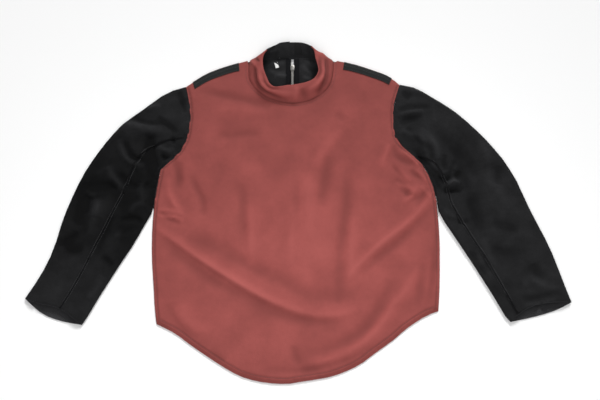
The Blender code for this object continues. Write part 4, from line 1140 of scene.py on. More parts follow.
def make_sleeves():
    """Both sleeves: upper pieces with creases, and lower ones that lie on the floor."""
    longest = bpy.context.scene.jacket_sizes.sleeve_step / MM
    for side, turn in (("left", -1), ("right", 1)):
        nodes = ["sleeve_upper_" + side, "sleeve_under_" + side]
        tree = tree_of(*nodes)
        for node in nodes:
            co, faces = refined(node, longest)
            top = tops(tree, co, co[:, 2])
            rise, painted_light_and_tone = sleeve_lift(side, co[:, 0], co[:, 1], top)
            # Only the layer on top is moved: its points are near the top, off the floor
            above = (co[:, 2] > top - COTTON - 1.2) & (co[:, 2] > COTTON + 0.4)
            obj = finished("cotton_" + node, raised(co, np.where(above, rise, 0)), faces,
                           "cotton")
            # The lower layer is painted paler, against the upper layer's shadow on it
            add_value(obj, "painted_light_and_tone", np.where(above, painted_light_and_tone, SLEEVE_UNDER_PAINTED_LIGHT))
            add_grain(obj, turn * SLEEVE_GRAIN)
            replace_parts(obj, node)
            declare_cut(obj)


def make_armholes():
    """The turned seams where the sleeves are set in, down to the end of the underarm."""
    over = tree_over("leather_front", "cotton_sleeve_upper_left", "cotton_sleeve_upper_right",
                     "cotton_sleeve_under_left", "cotton_sleeve_under_right")
    for side, table in (("left", ARMHOLE_ROLL_LEFT), ("right", ARMHOLE_ROLL_RIGHT)):
        plan = evenly(spline(table, 12), 4.0)
        around = [top_heights(over, plan[:, 0] + dx, plan[:, 1] + dy, 0.0)
                  for dx, dy in ((-3, 0), (3, 0), (0, -3), (0, 3), (0, 0))]
        # The roll is sunk by its radius, evened out, and kept clear of the floor
        z = np.median(around, axis=0) - ARMHOLE_ROLL
        z = np.convolve(np.pad(z, 4, mode="edge"), np.ones(9) / 9, "valid")
        roll("armhole_seam_" + side, np.column_stack([plan, np.maximum(z, 1.8)]),
             ARMHOLE_ROLL)


def declare_cut(obj):
    """Works out the flat cut of a sleeve piece from this same mesh, and keeps none of it."""
    # The area is the mesh's own, creases included, so a check of it against the mesh can't
    # fail. The width isn't measured: it comes from the mean one, and the widest place of
    # the piece is 9 to 22 % wider than this width
    points = np.array([vert.co for vert in obj.data.vertices])
    area = sum(face.area for face in obj.data.polygons) / 2
    turned = points[:, :2] - points[:, :2].mean(axis=0)
    _, _, axes = np.linalg.svd(turned, full_matrices=False)
    length, width = np.ptp(turned @ axes.T, axis=0)
    width = max(width, area / length * CUT_WIDTH)


def back_limit(places):
    """Longest edge of a back panel's mesh here: short where the neck shows the cloth."""
    shown = (places[:, 1] > NECK_FROM) & (np.abs(places[:, 0] - ZIP_X) < NECK_REACH)
    return np.where(shown, BACK_STEP_IN_NECK, BACK_STEP)


def make_backs():
    """Both back panels, lifted over the slider and lightly creased inside the neck."""
    for side in ("left", "right"):
        node = "back_" + side
        co, faces = refined(node, back_limit)
        rise = zip_rise(co[:, 0], co[:, 1])
        level = np.where(co[:, 2] - rise > COTTON / 2, COTTON, 0)
        folds = crease_height(co[:, 0], co[:, 1], NECK_CREASES)
        level += folds
        obj = finished("cotton_" + node, raised(co, rise + level - co[:, 2]), faces, "cotton")
        swell = swell_of(co[:, 0], co[:, 1], BACK_SWELL)
        # Painted light on the crests of the creases inside the neck, and random tone from the swell
        add_value(obj, "painted_light_and_tone", 4.0 * folds + swell - 0.9)
        add_grain(obj, 0)
        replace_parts(obj, node)


def collar_mid(stations, rows):
    """Middle surface of the collar band: rows up the band, stations round it."""
    dense = 24
    ring = [COLLAR[k % STATIONS] for k in range(STATIONS + 3)]
    seam = spline([row[:3] for row in ring], dense)
    edge = spline([row[3:] for row in ring], dense)
    at = np.asarray(stations) * dense
    index = np.arange(len(seam))
    low = np.stack([np.interp(at, index, axis) for axis in seam.T], axis=-1)
    high = np.stack([np.interp(at, index, axis) for axis in edge.T], axis=-1)
    s = np.asarray(rows)[:, None]
    grid = low + (high - low) * s[..., None]
    rise = np.sin(np.pi / 2 * np.clip((s - COLLAR_FLAT) / (1 - COLLAR_FLAT), 0, 1))
    grid[..., 2] = low[:, 2] + (high[:, 2] - low[:, 2]) * rise
    return grid


def collar_band(stations, rows):
    """The collar's middle surface and its outward normals."""
    stations = np.asarray(stations, float)
    beside = 0.05
    before = collar_mid(np.clip(stations - beside, 0, None), rows)
    after = collar_mid(stations + beside, rows)
    mid = collar_mid(stations, rows)
    normal = np.cross(after - before, np.gradient(mid, axis=0))
    return mid, normal / np.linalg.norm(normal, axis=-1)[..., None]


def wall_mesh(lower, upper):
    """A closed wall between two grids of points, the upper on its outer side."""
    rows, cols = lower.shape[:2]
    points = np.concatenate([lower.reshape(-1, 3), upper.reshape(-1, 3)])
    shift = rows * cols
    index = np.arange(shift).reshape(rows, cols)
    quads = np.stack(
        [index[:-1, :-1], index[:-1, 1:], index[1:, 1:], index[1:, :-1]], axis=-1
    ).reshape(-1, 4)
    rim = np.concatenate(
        [index[0], index[1:, -1], index[-1, -2::-1], index[-2:0:-1, 0]]
    )
    after = np.roll(rim, -1)
    band = np.column_stack([rim, after, shift + after, shift + rim])
    return points, np.vstack([quads + shift, quads[:, ::-1], band])


def make_collar():
    """The collar's three pieces, creased and with rounded rims."""
    half = COLLAR_WALL / 2
    for name, (first, last, columns, slot, reach) in COLLAR_SPANS.items():
        stations = np.linspace(first, last, columns)
        mid, out = collar_band(stations, COLLAR_ROWS)
        if name == "back_left":
            lift = OVERLAP_LIFT * step((OVERLAP_END - stations) / OVERLAP_BEND)
            mid = mid - out * lift[None, :, None]
        a, b = np.meshgrid(stations * STATION_WIDTH, COLLAR_ROWS * BAND_HEIGHT)
        folds = crease_height(a.ravel(), b.ravel(), [
            (h, below, above, [(st * STATION_WIDTH, up * BAND_HEIGHT) for st, up in line])
            for h, below, above, line in COLLAR_CREASES])
        folds += swell_of(a.ravel(), b.ravel(), COLLAR_SWELL)
        # The creases fade out at the seam, and by half at the rim
        fade = step(COLLAR_ROWS / 0.12) * (1 - 0.5 * step((COLLAR_ROWS - 0.85) / 0.15))
        fade = fade[:, None] * step(np.minimum(stations - first, last - stations) / reach)
        folds = COLLAR_GAIN * folds.reshape(a.shape) * fade
        mid = mid + out * folds[..., None]
        # Each side of the wall is rounded over the last 5 % at the foot and the rim
        near = np.minimum(COLLAR_ROWS / 0.05, (1 - COLLAR_ROWS) / 0.05)
        round_edge = np.sqrt(1 - (1 - np.clip(near, 0.04, 1)) ** 2)[:, None, None]
        points, faces = wall_mesh(mid - out * half * round_edge, mid + out * half * round_edge)
        obj = finished(f"{slot}_collar_{name}", points, faces, slot)
        if slot == "leather":
            # Painted light: paler where it faces the viewer and on its crests, and painted shade in
            # its hollows and in the fold at its foot
            facing = np.clip(-out[..., 1], 0, 1)
            foot = np.exp(-((COLLAR_ROWS[:, None] / 0.11) ** 2))
            foot = foot * np.interp(stations, (8.5, 10.5, 17.5, 20.0), (0.2, 1.0, 0.9, 0.2))
            add_value(obj, "painted_light_and_tone", np.tile(
                (2.2 * folds - 0.1 + 2.6 * facing - 5.0 * foot).ravel(), 2))
            # The second grid of faces is the inner side, lined with cotton below its rim
            obj.data.materials.append(cloth("cotton"))
            rows = len(COLLAR_ROWS) - 1
            for index, face in enumerate(obj.data.polygons):
                layer, cell = divmod(index, rows * (columns - 1))
                if layer == 1 and cell // (columns - 1) < rows - RIM_ROWS:
                    face.material_index = 1
        add_grain(obj, 0)
        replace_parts(obj, "collar_" + name)


def laid_on(tree, plan, down=True):
    """Points and normals of a plan line where it lies on the cloth below or above it."""
    way = Vector((0, 0, -1 if down else 1))
    spots, normals = [], []
    for x, y in plan:
        start = Vector((x, y, RAY_HIGH if down else RAY_LOW))
        spot, normal, _, _ = tree.ray_cast(start, way)
        if spot is not None:
            spots.append(spot)
            normals.append(normal)
    return np.array(spots), np.array(normals)


def seam_between(guide, under, upper, reach=12.0):
    """The line near the guide where one piece's top gives way to the other's."""
    trees = tree_over(under), tree_over(upper)
    line = evenly(spline(guide, 8), 12.0)
    offsets = np.arange(-reach, reach, 0.25)
    found = []
    for (x, y), (wx, wy) in zip(line, directions(line)):
        xs, ys = x + offsets * wy, y - offsets * wx
        first, second = (top_heights(tree, xs, ys, 0.0) for tree in trees)
        owner = first > second
        change = np.flatnonzero(owner[1:] != owner[:-1])
        if len(change):
            nearest = change[np.argmin(np.abs(offsets[change]))]
            found.append((xs[nearest], ys[nearest]))
    return np.array(found)


def felled_seam(side, line, tree, turn):
    """A flat raised seam along a plan line, its two edges sunk in the sleeve's cloth."""
    line = evenly(line, 2.0)
    way = directions(line)
    left = np.stack([-way[:, 1], way[:, 0]], axis=1)
    half = FELLED_WIDTH / 2
    sides = []
    for distance in (-half - 0.6, half + 0.6):
        spots = line + left * distance
        sides.append(top_heights(tree, spots[:, 0], spots[:, 1]))
    low, high = sides
    good = ~(np.isnan(low) | np.isnan(high))
    line, left, low, high = line[good], left[good], low[good], high[good]
    kernel = np.ones(3) / 3
    low[1:-1] = np.convolve(low, kernel, "valid")
    high[1:-1] = np.convolve(high, kernel, "valid")
    # Its section is nearly flat, a little higher at both edges, and it rises at its start
    across = np.linspace(-1, 1, 9)
    profile = np.sqrt(np.clip(1 - across**4, 0, 1)) * FELLED_HEIGHT * (0.6 + 0.4 * across**2)
    profile = profile[:, None] * np.clip(np.linspace(0.3, 2.3, len(line)), 0, 1) - 0.3
    plan = line[None] + left[None] * (across[:, None, None] * FELLED_WIDTH / 2)
    share = (across[:, None] + 1) / 2
    base = low[None] * (1 - share) + high[None] * share
    upper = np.dstack([plan, base + profile])
    lower = np.dstack([plan, base - 0.8])
    points, faces = wall_mesh(lower, upper)
    obj = finished("felled_seam_" + side, points, faces, "cotton", angle=60)
    uneven_tone = np.interp(distance_from_cuff(side, *line.T), SLEEVE_TONE_FROM_CUFF, SLEEVE_TONE[side])
    add_value(obj, "painted_light_and_tone", np.tile(uneven_tone + 2.2, 2 * len(across)))
    add_grain(obj, turn)


def roll(name, points, radius):
    """A rolled seam: a round cord of cloth along these points."""
    points = evenly(np.asarray(points, float), 2.5)
    way = directions(points)
    side = np.cross(way, (0, 0, 1))
    side /= np.linalg.norm(side, axis=1)[:, None]
    up = np.cross(side, way)
    turns = np.linspace(0, 2 * np.pi, 11)[:-1]
    rings = [points + radius * (np.cos(a) * side + np.sin(a) * up) for a in turns]
    grid = np.stack(rings, axis=1)
    count, sides = grid.shape[:2]
    index = np.arange(count * sides).reshape(count, sides)
    after = np.roll(index, -1, axis=1)
    faces = np.stack([index[:-1], after[:-1], after[1:], index[1:]], axis=-1).reshape(-1, 4)
    ends = [index[0][::-1].tolist(), index[-1].tolist()]
    mesh = bpy.data.meshes.new(name)
    mesh.from_pydata((grid.reshape(-1, 3) * MM).tolist(), [], faces.tolist() + ends)
    mesh.materials.append(cloth("cotton"))
    mesh.shade_smooth()
    obj = placed(name, mesh)
    add_value(obj, "painted_light_and_tone", np.full(len(mesh.vertices), 1.0))
    add_grain(obj, 0)


def path_mesh(name, lines):
    """Edges along several lines, each point with the cloth's normal there."""
    points, edges, normals = [], [], []
    for spots, ups in lines:
        shift = len(points)
        points += [tuple(spot * MM) for spot in spots]
        normals += [tuple(up) for up in ups]
        edges += [(shift + k, shift + k + 1) for k in range(len(spots) - 1)]
    mesh = bpy.data.meshes.new(name)
    mesh.from_pydata(points, edges, [])
    data = mesh.attributes.new("up", "FLOAT_VECTOR", "POINT").data
    data.foreach_set("vector", np.array(normals, float).ravel())
    return mesh


def new_node_tree(name, inputs):
    """A Geometry Nodes tree with these named numbers as inputs."""
    tree = bpy.data.node_groups.new(name, "GeometryNodeTree")
    tree.interface.new_socket("Geometry", in_out="INPUT", socket_type="NodeSocketGeometry")
    tree.interface.new_socket("Geometry", in_out="OUTPUT", socket_type="NodeSocketGeometry")
    for label in inputs:
        tree.interface.new_socket(label, in_out="INPUT", socket_type="NodeSocketFloat")
    return tree, tree.nodes.new("NodeGroupInput").outputs


def end_tree(tree, instances, mat):
    """The tree's last nodes: instances made real, in this material."""
    real = add_node(tree, "GeometryNodeRealizeInstances", links={"Geometry": instances})
    given = add_node(tree, "GeometryNodeSetMaterial", {"Material": mat},
                     {"Geometry": real.outputs[0]})
    add_node(tree, "NodeGroupOutput", links={"Geometry": given.outputs[0]})


def along_path(tree, given, spacing, shape):
    """The shape set along the paths, turned to their run and to the cloth's normal."""
    curve = add_node(tree, "GeometryNodeMeshToCurve", links={"Mesh": given["Geometry"]})
    even = add_node(tree, "GeometryNodeResampleCurve", {"mode": "LENGTH"},
                    {"Curve": curve.outputs[0], "Length": spacing})
    run = add_node(tree, "GeometryNodeInputTangent")
    up = add_node(tree, "GeometryNodeInputNamedAttribute",
                  {"data_type": "FLOAT_VECTOR", "Name": "up"})
    turned = add_node(tree, "FunctionNodeAlignRotationToVector", {"axis": "X"},
                      {"Vector": run.outputs[0]})
    turned = add_node(tree, "FunctionNodeAlignRotationToVector",
                      {"axis": "Z", "pivot_axis": "X"},
                      {"Rotation": turned.outputs[0], "Vector": up.outputs[0]})
    return add_node(tree, "GeometryNodeInstanceOnPoints", links={
        "Points": even.outputs[0], "Instance": shape, "Rotation": turned.outputs[0]})


def made_by(tree, name, mesh, values):
    """The plain mesh that a tree makes from a mesh of paths."""
    obj = bpy.data.objects.new(name, mesh)
    bpy.context.scene.collection.objects.link(obj)
    modifier = obj.modifiers.new("made", "NODES")
    modifier.node_group = tree
    for item in tree.interface.items_tree:
        if item.in_out == "INPUT" and item.name in values:
            modifier[item.identifier] = values[item.name]
    graph = bpy.context.evaluated_depsgraph_get()
    result = bpy.data.meshes.new_from_object(obj.evaluated_get(graph))
    obj.modifiers.remove(modifier)
    obj.data = result
    result.name = name
    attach(obj, "jacket")
    return obj


def sew(name, lines, mat):
    """A piece of stitches along the lines, each a bead of thread sunk in the cloth."""
    sizes = bpy.context.scene.jacket_sizes
    tree, given = new_node_tree(name, ("Pitch", "Length", "Thickness"))
    bead = add_node(tree, "GeometryNodeMeshUVSphere", {
        "Segments": 6, "Rings": 4, "Radius": 0.5})
    size = add_node(tree, "ShaderNodeCombineXYZ", links={
        "X": given["Length"], "Y": given["Thickness"], "Z": given["Thickness"]})
    drawn = add_node(tree, "GeometryNodeTransform", links={
        "Geometry": bead.outputs[0], "Scale": size.outputs[0]})
    set_out = along_path(tree, given, given["Pitch"], drawn.outputs[0])
    smooth = add_node(tree, "GeometryNodeSetShadeSmooth",
                      links={"Geometry": set_out.outputs[0]})
    end_tree(tree, smooth.outputs[0], mat)
    made_by(tree, name, path_mesh(name, lines), {
        "Pitch": sizes.stitch_pitch, "Length": sizes.stitch_length,
        "Thickness": sizes.thread})


def thread(name, hex_colour):
    """The thread of this name, made on its first use."""
    return kept(name, lambda: thread_material(name, hex_colour))


def make_stitching():
    """Rows of stitches on the leather, the sleeves, the cuffs and the back."""
    front = tree_over("leather_front")
    lines = [laid_on(front, plan) for plan in stitch_rows()]
    lines.append(laid_on(front, evenly(shifted(neck_line(), NECK_ROW), ROW_SPACING)[2:-2]))
    # The thread is a dark red, drawn darker than the leather so that its rows also stand in for the
    # shade along their grooves
    sew("leather_stitches", lines, thread("red_thread", "#5c2b29"))

    lines = []
    for side, guide, cuff, cuff_back, turn in (
        ("left", SLEEVE_SEAM_LEFT, CUFF_LEFT, CUFF_BACK_LEFT, -1),
        ("right", SLEEVE_SEAM_RIGHT, CUFF_RIGHT, CUFF_BACK_RIGHT, 1),
    ):
        names = "cotton_sleeve_under_" + side, "cotton_sleeve_upper_" + side
        sleeve = tree_over(*names)
        line = spline(seam_between(guide, *names)[::2], 6)
        felled_seam(side, line, sleeve, -turn * SEAM_GRAIN)
        felled = tree_over("felled_seam_" + side)
        for distance in (-SLEEVE_SEAM_ROW, SLEEVE_SEAM_ROW):
            lines.append(laid_on(felled, evenly(shifted(line, distance), ROW_SPACING)))
        for distance in CUFF_ROWS:
            plan = evenly(shifted(spline(cuff, 12), turn * distance), ROW_SPACING)
            lines.append(laid_on(sleeve, plan[4:-4]))
        plan = evenly(shifted(spline(cuff_back, 12), turn * CUFF_BACK_ROW), ROW_SPACING)
        lines.append(laid_on(sleeve, plan[4:-4], down=False))
    # The seam of the collar's cotton ends, just below the band and on the back panels
    ring = [COLLAR[k % STATIONS] for k in NECK_BACK_STATIONS]
    neck = spline([(x, y - 1.0, max(z, 2.6)) for x, y, z, _, _, _ in ring], 8)
    roll("neck_seam", neck, NECK_SEAM_ROLL)
    along = np.linspace(*ZIP_ROW_SPAN, 230)
    for side, turn in (("left", -1), ("right", 1)):
        back = tree_over("cotton_back_" + side)
        for distance in ZIP_ROWS:
            plan = np.column_stack([np.full(len(along), ZIP_X + turn * distance), along])
            lines.append(laid_on(back, plan, down=False))
    sew("cotton_stitches", lines, thread("black_thread", "#262628"))


def make_strips():
    """Hook-and-loop strips, pressed on the leather along each shoulder."""
    mat = kept("hook_and_loop", hook_and_loop_material)
    lines = []
    for side in ("left", "right"):
        node = "shoulder_strip_" + side
        co, faces = refined(node, STRIP_STEP)
        x, y = co[:, 0], co[:, 1]
        below = tops(tree_of("front"), co, co[:, 2] - STRIP_WALL)
        rise, _ = front_lift(x, y, below)
        pile = PILE * ripple(x, y, 2.2, 4.0) * (co[:, 2] - below > 0.9)
        obj = finished(f"loop_tape_{side}", raised(co, rise + pile), faces, "hook_and_loop",
                       mat, angle=60)
        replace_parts(obj, node)
    for side, table, turn in (("left", SHOULDER_LEFT, 1), ("right", SHOULDER_RIGHT, -1)):
        tape = tree_over("loop_tape_" + side)
        for inset in STRIP_ROWS:
            plan = evenly(shifted(spline(table, 16), turn * inset), ROW_SPACING)
            lines.append(laid_on(tape, plan))
    sew("strip_stitches", lines, thread("black_thread", "#262628"))


def make_fastener():
    """Square of hook-and-loop tape on the collar's inner face."""
    count = 26
    mid, out = collar_band(np.linspace(*FASTENER_STATIONS, count),
                           np.linspace(*FASTENER_ROWS, count))
    row, column = np.indices((count, count)).reshape(2, -1)
    pile = PILE * ripple(row, column, 1.4, 2.0).reshape(count, count, 1)
    above = COLLAR_WALL / 2 + GAP
    points, faces = wall_mesh(mid - out * (above + FASTENER_WALL + pile), mid - out * above)
    mat = kept("black_loops", lambda: hook_and_loop_material(
        "clean_loop_pile", "#0b0b0d", "#040405"))
    obj = finished("loop_square", points, faces, "hook_and_loop", mat, angle=60)
    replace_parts(obj, "collar_fastener")


def make_label():
    """The blank label, its middle swollen and its corners lifted a little."""
    corners = np.array(LABEL)
    u, v = np.meshgrid(np.linspace(0, 1, 14), np.linspace(0, 1, 24))
    plan = ((1 - v) * (1 - u))[..., None] * corners[0] + ((1 - v) * u)[..., None] * corners[1]
    plan = plan + (v * u)[..., None] * corners[2] + (v * (1 - u))[..., None] * corners[3]
    rise = zip_rise(plan[..., 0], plan[..., 1]) + COTTON + GAP
    curl = 0.7 * np.abs(2 * v - 1) ** 4 * np.abs(2 * u - 1) ** 2
    swell = 0.25 * np.sin(np.pi * v) * (1 + np.sin(5 * u))
    low = np.dstack([plan, rise + curl + swell])
    points, faces = wall_mesh(low, low + (0, 0, LABEL_WALL))
    obj = finished("white_label", points, faces, "label", kept("label", label_material))
    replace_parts(obj, "neck_label")


def rounded(bm, width, segments=2):
    """Rounds the sharp edges of a part."""
    bmesh.ops.recalc_face_normals(bm, faces=bm.faces)
    edges = [edge for edge in bm.edges if edge.calc_face_angle(0) > math.radians(35)]
    bmesh.ops.bevel(bm, geom=edges, offset=width, segments=segments, profile=0.5,
                    affect="EDGES", clamp_overlap=True)


def prism(outline, low, high, width):
    """A plate with this outline in plan between two heights, its edges rounded."""
    bm = bmesh.new()
    face = bm.faces.new([bm.verts.new((x, y, low)) for x, y in outline])
    push = bmesh.ops.extrude_face_region(bm, geom=[face])["geom"]
    for vert in (item for item in push if isinstance(item, bmesh.types.BMVert)):
        vert.co.z = high
    rounded(bm, width)
    return bm


def metal_piece(name, parts, node, body="jacket"):
    """One nickel piece from several parts in millimetres, in the place of a CAD node."""
    whole = bmesh.new()
    for part in parts:
        bmesh.ops.recalc_face_normals(part, faces=part.faces)
        mesh = bpy.data.meshes.new("part")
        part.to_mesh(mesh)
        part.free()
        whole.from_mesh(mesh)
        bpy.data.meshes.remove(mesh)
    bmesh.ops.triangulate(whole, faces=[face for face in whole.faces if len(face.verts) > 4])
    whole.verts.index_update()
    mesh = bpy.data.meshes.new(name)
    mesh.from_pydata([tuple(c * MM for c in vert.co) for vert in whole.verts], [],
                     [[vert.index for vert in face.verts] for face in whole.faces])
    whole.free()
    mesh.materials.append(kept("nickel", nickel_material))
    mesh.shade_smooth()
    mesh.set_sharp_from_angle(angle=math.radians(45))
    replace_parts(placed(name, mesh, body), node)


def block(x0, x1, y0, y1, z0, z1, width):
    """A box between these limits, its edges rounded."""
    outline = ((x0, y0), (x1, y0), (x1, y1), (x0, y1))
    return prism(outline, z0, z1, width)


def make_slider():
    """The slider: two shield-shaped plates on a post, side lips and a crown below."""
    mid = ZIP_MID + RISE
    y0, y1 = SLIDER_Y - SLIDER_HALF, SLIDER_Y + SLIDER_HALF
    shield = []
    for x, y in ((3.3, y0), (4.05, y0 + 0.5), (4.3, y0 + 4), (4.75, y1 - 5), (4.75, y1 - 3.2),
                 (3.6, y1 - 0.9), (1.9, y1), (0.9, y1 - 0.6)):
        shield.append((ZIP_X + x, y))
    shield += [(2 * ZIP_X - x, y) for x, y in reversed(shield)]
    plates = [
        prism(shield, mid + 1.6, mid + 2.8, 0.35),
        prism(shield, mid - 2.8, mid - 1.6, 0.35),
    ]
    post = block(ZIP_X - 1.2, ZIP_X + 1.2, y1 - 3.0, y1 - 0.7, mid - 1.7, mid + 1.7, 0.3)
    lips = []
    for turn in (-1, 1):
        x0, x1 = sorted((ZIP_X + turn * 4.7, ZIP_X + turn * 3.6))
        for z0, z1 in ((mid + 0.8, mid + 1.9), (mid - 1.9, mid - 0.8)):
            lips.append(block(x0, x1, y0 + 3.0, y1 - 3.6, z0, z1, 0.25))
    # The crown: two feet and a bridge, which the pull tab's bar passes through
    left, right = ZIP_X - 1.4, ZIP_X + 1.4
    crown = [block(left, right, HINGE_Y + low, HINGE_Y + high, 0.7, mid - 2.5, 0.3)
             for low, high in ((-2.6, -1.4), (1.4, 2.6))]
    crown.append(block(left, right, HINGE_Y - 2.5, HINGE_Y + 2.5, 0.32, 1.38, 0.3))
    metal_piece("nickel_slider", [*plates, post, *lips, *crown], "zip_slider")


def make_stop():
    """The zip's bottom stop, a square clip round both tapes."""
    clip = block(ZIP_X - 2.7, ZIP_X + 2.7, ZIP_BOTTOM - 6, ZIP_BOTTOM - 0.4, 1.85, 4.15, 0.5)
    metal_piece("nickel_stop", [clip], "zip_bottom_stop")


def make_pull_tab():
    """The pull tab: a bar in the crown, two arms and a plate with a hole at its end."""
    # Outlines from the hinge line, along the tab as it points to the hem
    outer = [(-3.2, -24.6), (-2.9, -26.6), (-1.9, -27.8), (1.9, -27.8), (2.9, -26.6),
             (3.2, -24.6), (2.6, -9.0), (3.25, -5.2), (3.25, 0.5), (-3.25, 0.5),
             (-3.25, -5.2), (-2.6, -9.0)]
    radius, hole_y, half = 1.55, -24.0, 0.5
    hole = [(radius * math.cos(a), hole_y + radius * math.sin(a))
            for a in np.linspace(0, 2 * math.pi, 17)[:-1]]
    slot = [(-1.9, -5.8), (1.9, -5.8), (1.9, -0.45), (-1.9, -0.45)]
    bm = bmesh.new()
    layers = []
    for z in (-half, half):
        loops = [[bm.verts.new((x, y, z)) for x, y in points] for points in (outer, hole, slot)]
        edges = []
        for loop in loops:
            edges += [bm.edges.new((a, b)) for a, b in zip(loop, loop[1:] + loop[:1])]
        bmesh.ops.triangle_fill(bm, use_beauty=True, edges=edges)
        layers.append(loops)
    for low, high in zip(*layers):
        for k in range(len(low)):
            n = (k + 1) % len(low)
            bm.faces.new((low[k], low[n], high[n], high[k]))
    rounded(bm, 0.22, 1)
    c, s = math.cos(TAB_TILT), math.sin(TAB_TILT)
    for vert in bm.verts:
        x, y, z = vert.co
        vert.co = (ZIP_X + x, HINGE_Y + y * c - z * s, HINGE_Z + y * s + z * c)
    metal_piece("nickel_pull", [bm], "pull_tab", "pull_tab")


def make_teeth():
    """Zip teeth, set along the two sides of the chain and half a step apart."""
    sizes = bpy.context.scene.jacket_sizes
    tree, given = new_node_tree("zip_teeth", ("Pitch", *TOOTH))
    size = add_node(tree, "ShaderNodeCombineXYZ", links={
        "X": given["Foot length"], "Y": given["Foot width"], "Z": given["Foot height"]})
    foot = add_node(tree, "GeometryNodeMeshCube", links={"Size": size.outputs[0]})
    head = add_node(tree, "GeometryNodeMeshCylinder", {"Vertices": 8}, {
        "Radius": given["Head radius"], "Depth": given["Head height"]})
    reach = add_node(tree, "ShaderNodeCombineXYZ", links={"Y": given["Reach"]})
    moved = add_node(tree, "GeometryNodeTransform", links={
        "Geometry": head.outputs[0], "Translation": reach.outputs[0]})
    tooth = add_node(tree, "GeometryNodeJoinGeometry")
    tree.links.new(foot.outputs[0], tooth.inputs[0])
    tree.links.new(moved.outputs[0], tooth.inputs[0])
    set_out = along_path(tree, given, given["Pitch"], tooth.outputs[0])
    end_tree(tree, set_out.outputs[0], kept("teeth", lambda: nickel_material(
        "rubbed_nickel_teeth", "#b2b0ab", "#d0cec9")))
    first, last, spacing = ZIP_BOTTOM + 0.6, SLIDER_Y - 6.4, 2.0
    lines = []
    for turn in (-1, 1):
        start = first if turn < 0 else first + sizes.tooth_pitch / MM / 2
        y = np.arange(start, last, spacing)[::turn]
        x = np.full(len(y), ZIP_X + turn * TOOTH_ROW)
        z = ZIP_MID + zip_rise(x, y)
        lines.append((np.column_stack([x, y, z]), np.tile((0.0, 0.0, 1.0), (len(y), 1))))
    obj = made_by(tree, "nickel_teeth", path_mesh("nickel_teeth", lines),
                  {"Pitch": sizes.tooth_pitch, **TOOTH})
    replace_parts(obj, "zip_chain")


def make_tapes():
    """The zip's two tapes, flat on the backs and lifted with them over the slider."""
    mat = kept("tape", zip_tape_material)
    base = COTTON + GAP
    for side in ("left", "right"):
        node = "zip_tape_" + side
        co, faces = refined(node, TAPE_STEP)
        rise = zip_rise(co[:, 0], co[:, 1])
        upper = co[:, 2] - rise > base + TAPE_WALL / 2
        level = base + TAPE_WALL * upper
        obj = finished("woven_" + node, raised(co, rise + level - co[:, 2]), faces, "tape", mat)
        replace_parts(obj, node)


def make_stage():
    """White surface, studio light and camera."""
    mesh = bpy.data.meshes.new("white_surface")
    size = SURFACE_HALF
    mesh.from_pydata([(-size, -size, 0), (size, -size, 0), (size, size, 0), (-size, size, 0)],
                     [], [(0, 1, 2, 3)])
    mat, _, _ = new_material("matt_white_board", {
        "Base Color": (0.95, 0.95, 0.95, 1), "Roughness": 0.95, "Specular IOR Level": 0.1})
    mesh.materials.append(mat)
    floor = bpy.data.objects.new("white_surface", mesh)
    bpy.context.scene.collection.objects.link(floor)

    world = bpy.data.worlds.new("studio")
    bpy.context.scene.world = world
    world.use_nodes = True
    sky = world.node_tree.nodes["Background"].inputs
    sky["Color"].default_value = (1, 1, 1, 1)
    sky["Strength"].default_value = SKY_STRENGTH
    for name, (away, strength, softness) in SUNS.items():
        light = bpy.data.lights.new(name, "SUN")
        light.energy = strength
        light.angle = math.radians(softness)
        lamp = bpy.data.objects.new(name, light)
        lamp.location = away
        lamp.rotation_euler = Vector(away).to_track_quat("Z", "Y").to_euler()
        bpy.context.scene.collection.objects.link(lamp)
    light = bpy.data.lights.new("belly_light", "AREA")
    light.energy = BELLY_LIGHT_POWER
    light.size = BELLY_LIGHT_SIZE
    lamp = bpy.data.objects.new("belly_light", light)
    lamp.location = BELLY_LIGHT_PLACE
    lamp.visible_camera = False
    bpy.context.scene.collection.objects.link(lamp)

    data = bpy.data.cameras.new("camera")
    data.lens = CAMERA_LENS
    camera = bpy.data.objects.new("camera", data)
    away = Vector((0, -math.cos(CAMERA_ELEVATION), math.sin(CAMERA_ELEVATION)))
    camera.location = Vector(CAMERA_TARGET) + away * CAMERA_DISTANCE
    camera.rotation_euler = away.to_track_quat("Z", "Y").to_euler()
    bpy.context.scene.collection.objects.link(camera)
    bpy.context.scene.camera = camera
    bpy.context.scene.view_settings.view_transform = "Standard"
    bpy.context.scene.view_settings.look = "None"


class JACKET_OT_stage(bpy.types.Operator):
    """White surface, studio light and camera"""
    bl_idname = "jacket.stage"
    bl_label = "Stage"

    def execute(self, context):
        make_stage()
        return {"FINISHED"}


class JACKET_OT_front(bpy.types.Operator):
    """Leather front with its creases"""
    bl_idname = "jacket.front"
    bl_label = "Leather front"

    def execute(self, context):
        make_front()
        return {"FINISHED"}


class JACKET_OT_backs(bpy.types.Operator):
    """Two cotton back panels, which lie on the floor"""
    bl_idname = "jacket.backs"
    bl_label = "Back panels"

    def execute(self, context):
        make_backs()
        return {"FINISHED"}


class JACKET_OT_sleeves(bpy.types.Operator):
    """Two-piece cotton sleeves with their creases"""
    bl_idname = "jacket.sleeves"
    bl_label = "Sleeves"

    def execute(self, context):
        make_sleeves()
        make_armholes()
        return {"FINISHED"}


class JACKET_OT_collar(bpy.types.Operator):
    """Standing collar: a leather band in front and cotton behind"""
    bl_idname = "jacket.collar"
    bl_label = "Collar"

    def execute(self, context):
        make_collar()
        return {"FINISHED"}


class JACKET_OT_strips(bpy.types.Operator):
    """Hook-and-loop strips on the shoulders and a square inside the collar"""
    bl_idname = "jacket.strips"
    bl_label = "Hook-and-loop tape"

    def execute(self, context):
        make_strips()
        make_fastener()
        return {"FINISHED"}


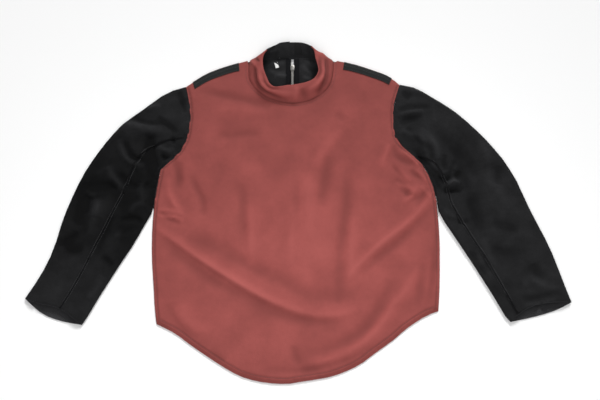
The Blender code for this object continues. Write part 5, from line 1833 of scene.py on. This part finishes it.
class JACKET_OT_zip(bpy.types.Operator):
    """Centre-back zip: tapes, teeth, slider, stop and pull tab"""
    bl_idname = "jacket.zip"
    bl_label = "Zip"

    def execute(self, context):
        make_tapes()
        make_teeth()
        make_slider()
        make_stop()
        make_pull_tab()
        return {"FINISHED"}


class JACKET_OT_label(bpy.types.Operator):
    """Small blank label inside the neck"""
    bl_idname = "jacket.label"
    bl_label = "Label"

    def execute(self, context):
        make_label()
        return {"FINISHED"}


class JACKET_OT_stitching(bpy.types.Operator):
    """Rows of stitches along the seams and hems"""
    bl_idname = "jacket.stitching"
    bl_label = "Stitching"

    def execute(self, context):
        make_stitching()
        return {"FINISHED"}


class JACKET_PT_pieces(bpy.types.Panel):
    bl_label = "Jacket"
    bl_space_type = "VIEW_3D"
    bl_region_type = "UI"
    bl_category = "Jacket"

    def draw(self, context):
        for group in (context.scene.jacket_sizes, context.scene.jacket_colours):
            for name in group.__annotations__:
                self.layout.prop(group, name)
        for operator in OPERATORS:
            self.layout.operator(operator.bl_idname)


OPERATORS = (
    JACKET_OT_stage, JACKET_OT_front, JACKET_OT_backs, JACKET_OT_sleeves, JACKET_OT_collar,
    JACKET_OT_strips, JACKET_OT_zip, JACKET_OT_label, JACKET_OT_stitching,
)
CLASSES = (JacketSizes, JacketColours, *OPERATORS, JACKET_PT_pieces)


def register():
    for cls in CLASSES:
        bpy.utils.register_class(cls)
    bpy.types.Scene.jacket_sizes = bpy.props.PointerProperty(type=JacketSizes)
    bpy.types.Scene.jacket_colours = bpy.props.PointerProperty(type=JacketColours)


def unregister():
    del bpy.types.Scene.jacket_colours
    del bpy.types.Scene.jacket_sizes
    for cls in reversed(CLASSES):
        bpy.utils.unregister_class(cls)


def main():
    """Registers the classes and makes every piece."""
    register()
    bpy.ops.jacket.stage()
    bpy.ops.jacket.front()
    bpy.ops.jacket.backs()
    bpy.ops.jacket.sleeves()
    bpy.ops.jacket.collar()
    bpy.ops.jacket.strips()
    bpy.ops.jacket.zip()
    bpy.ops.jacket.label()
    bpy.ops.jacket.stitching()


if __name__ == "__main__":
    main()
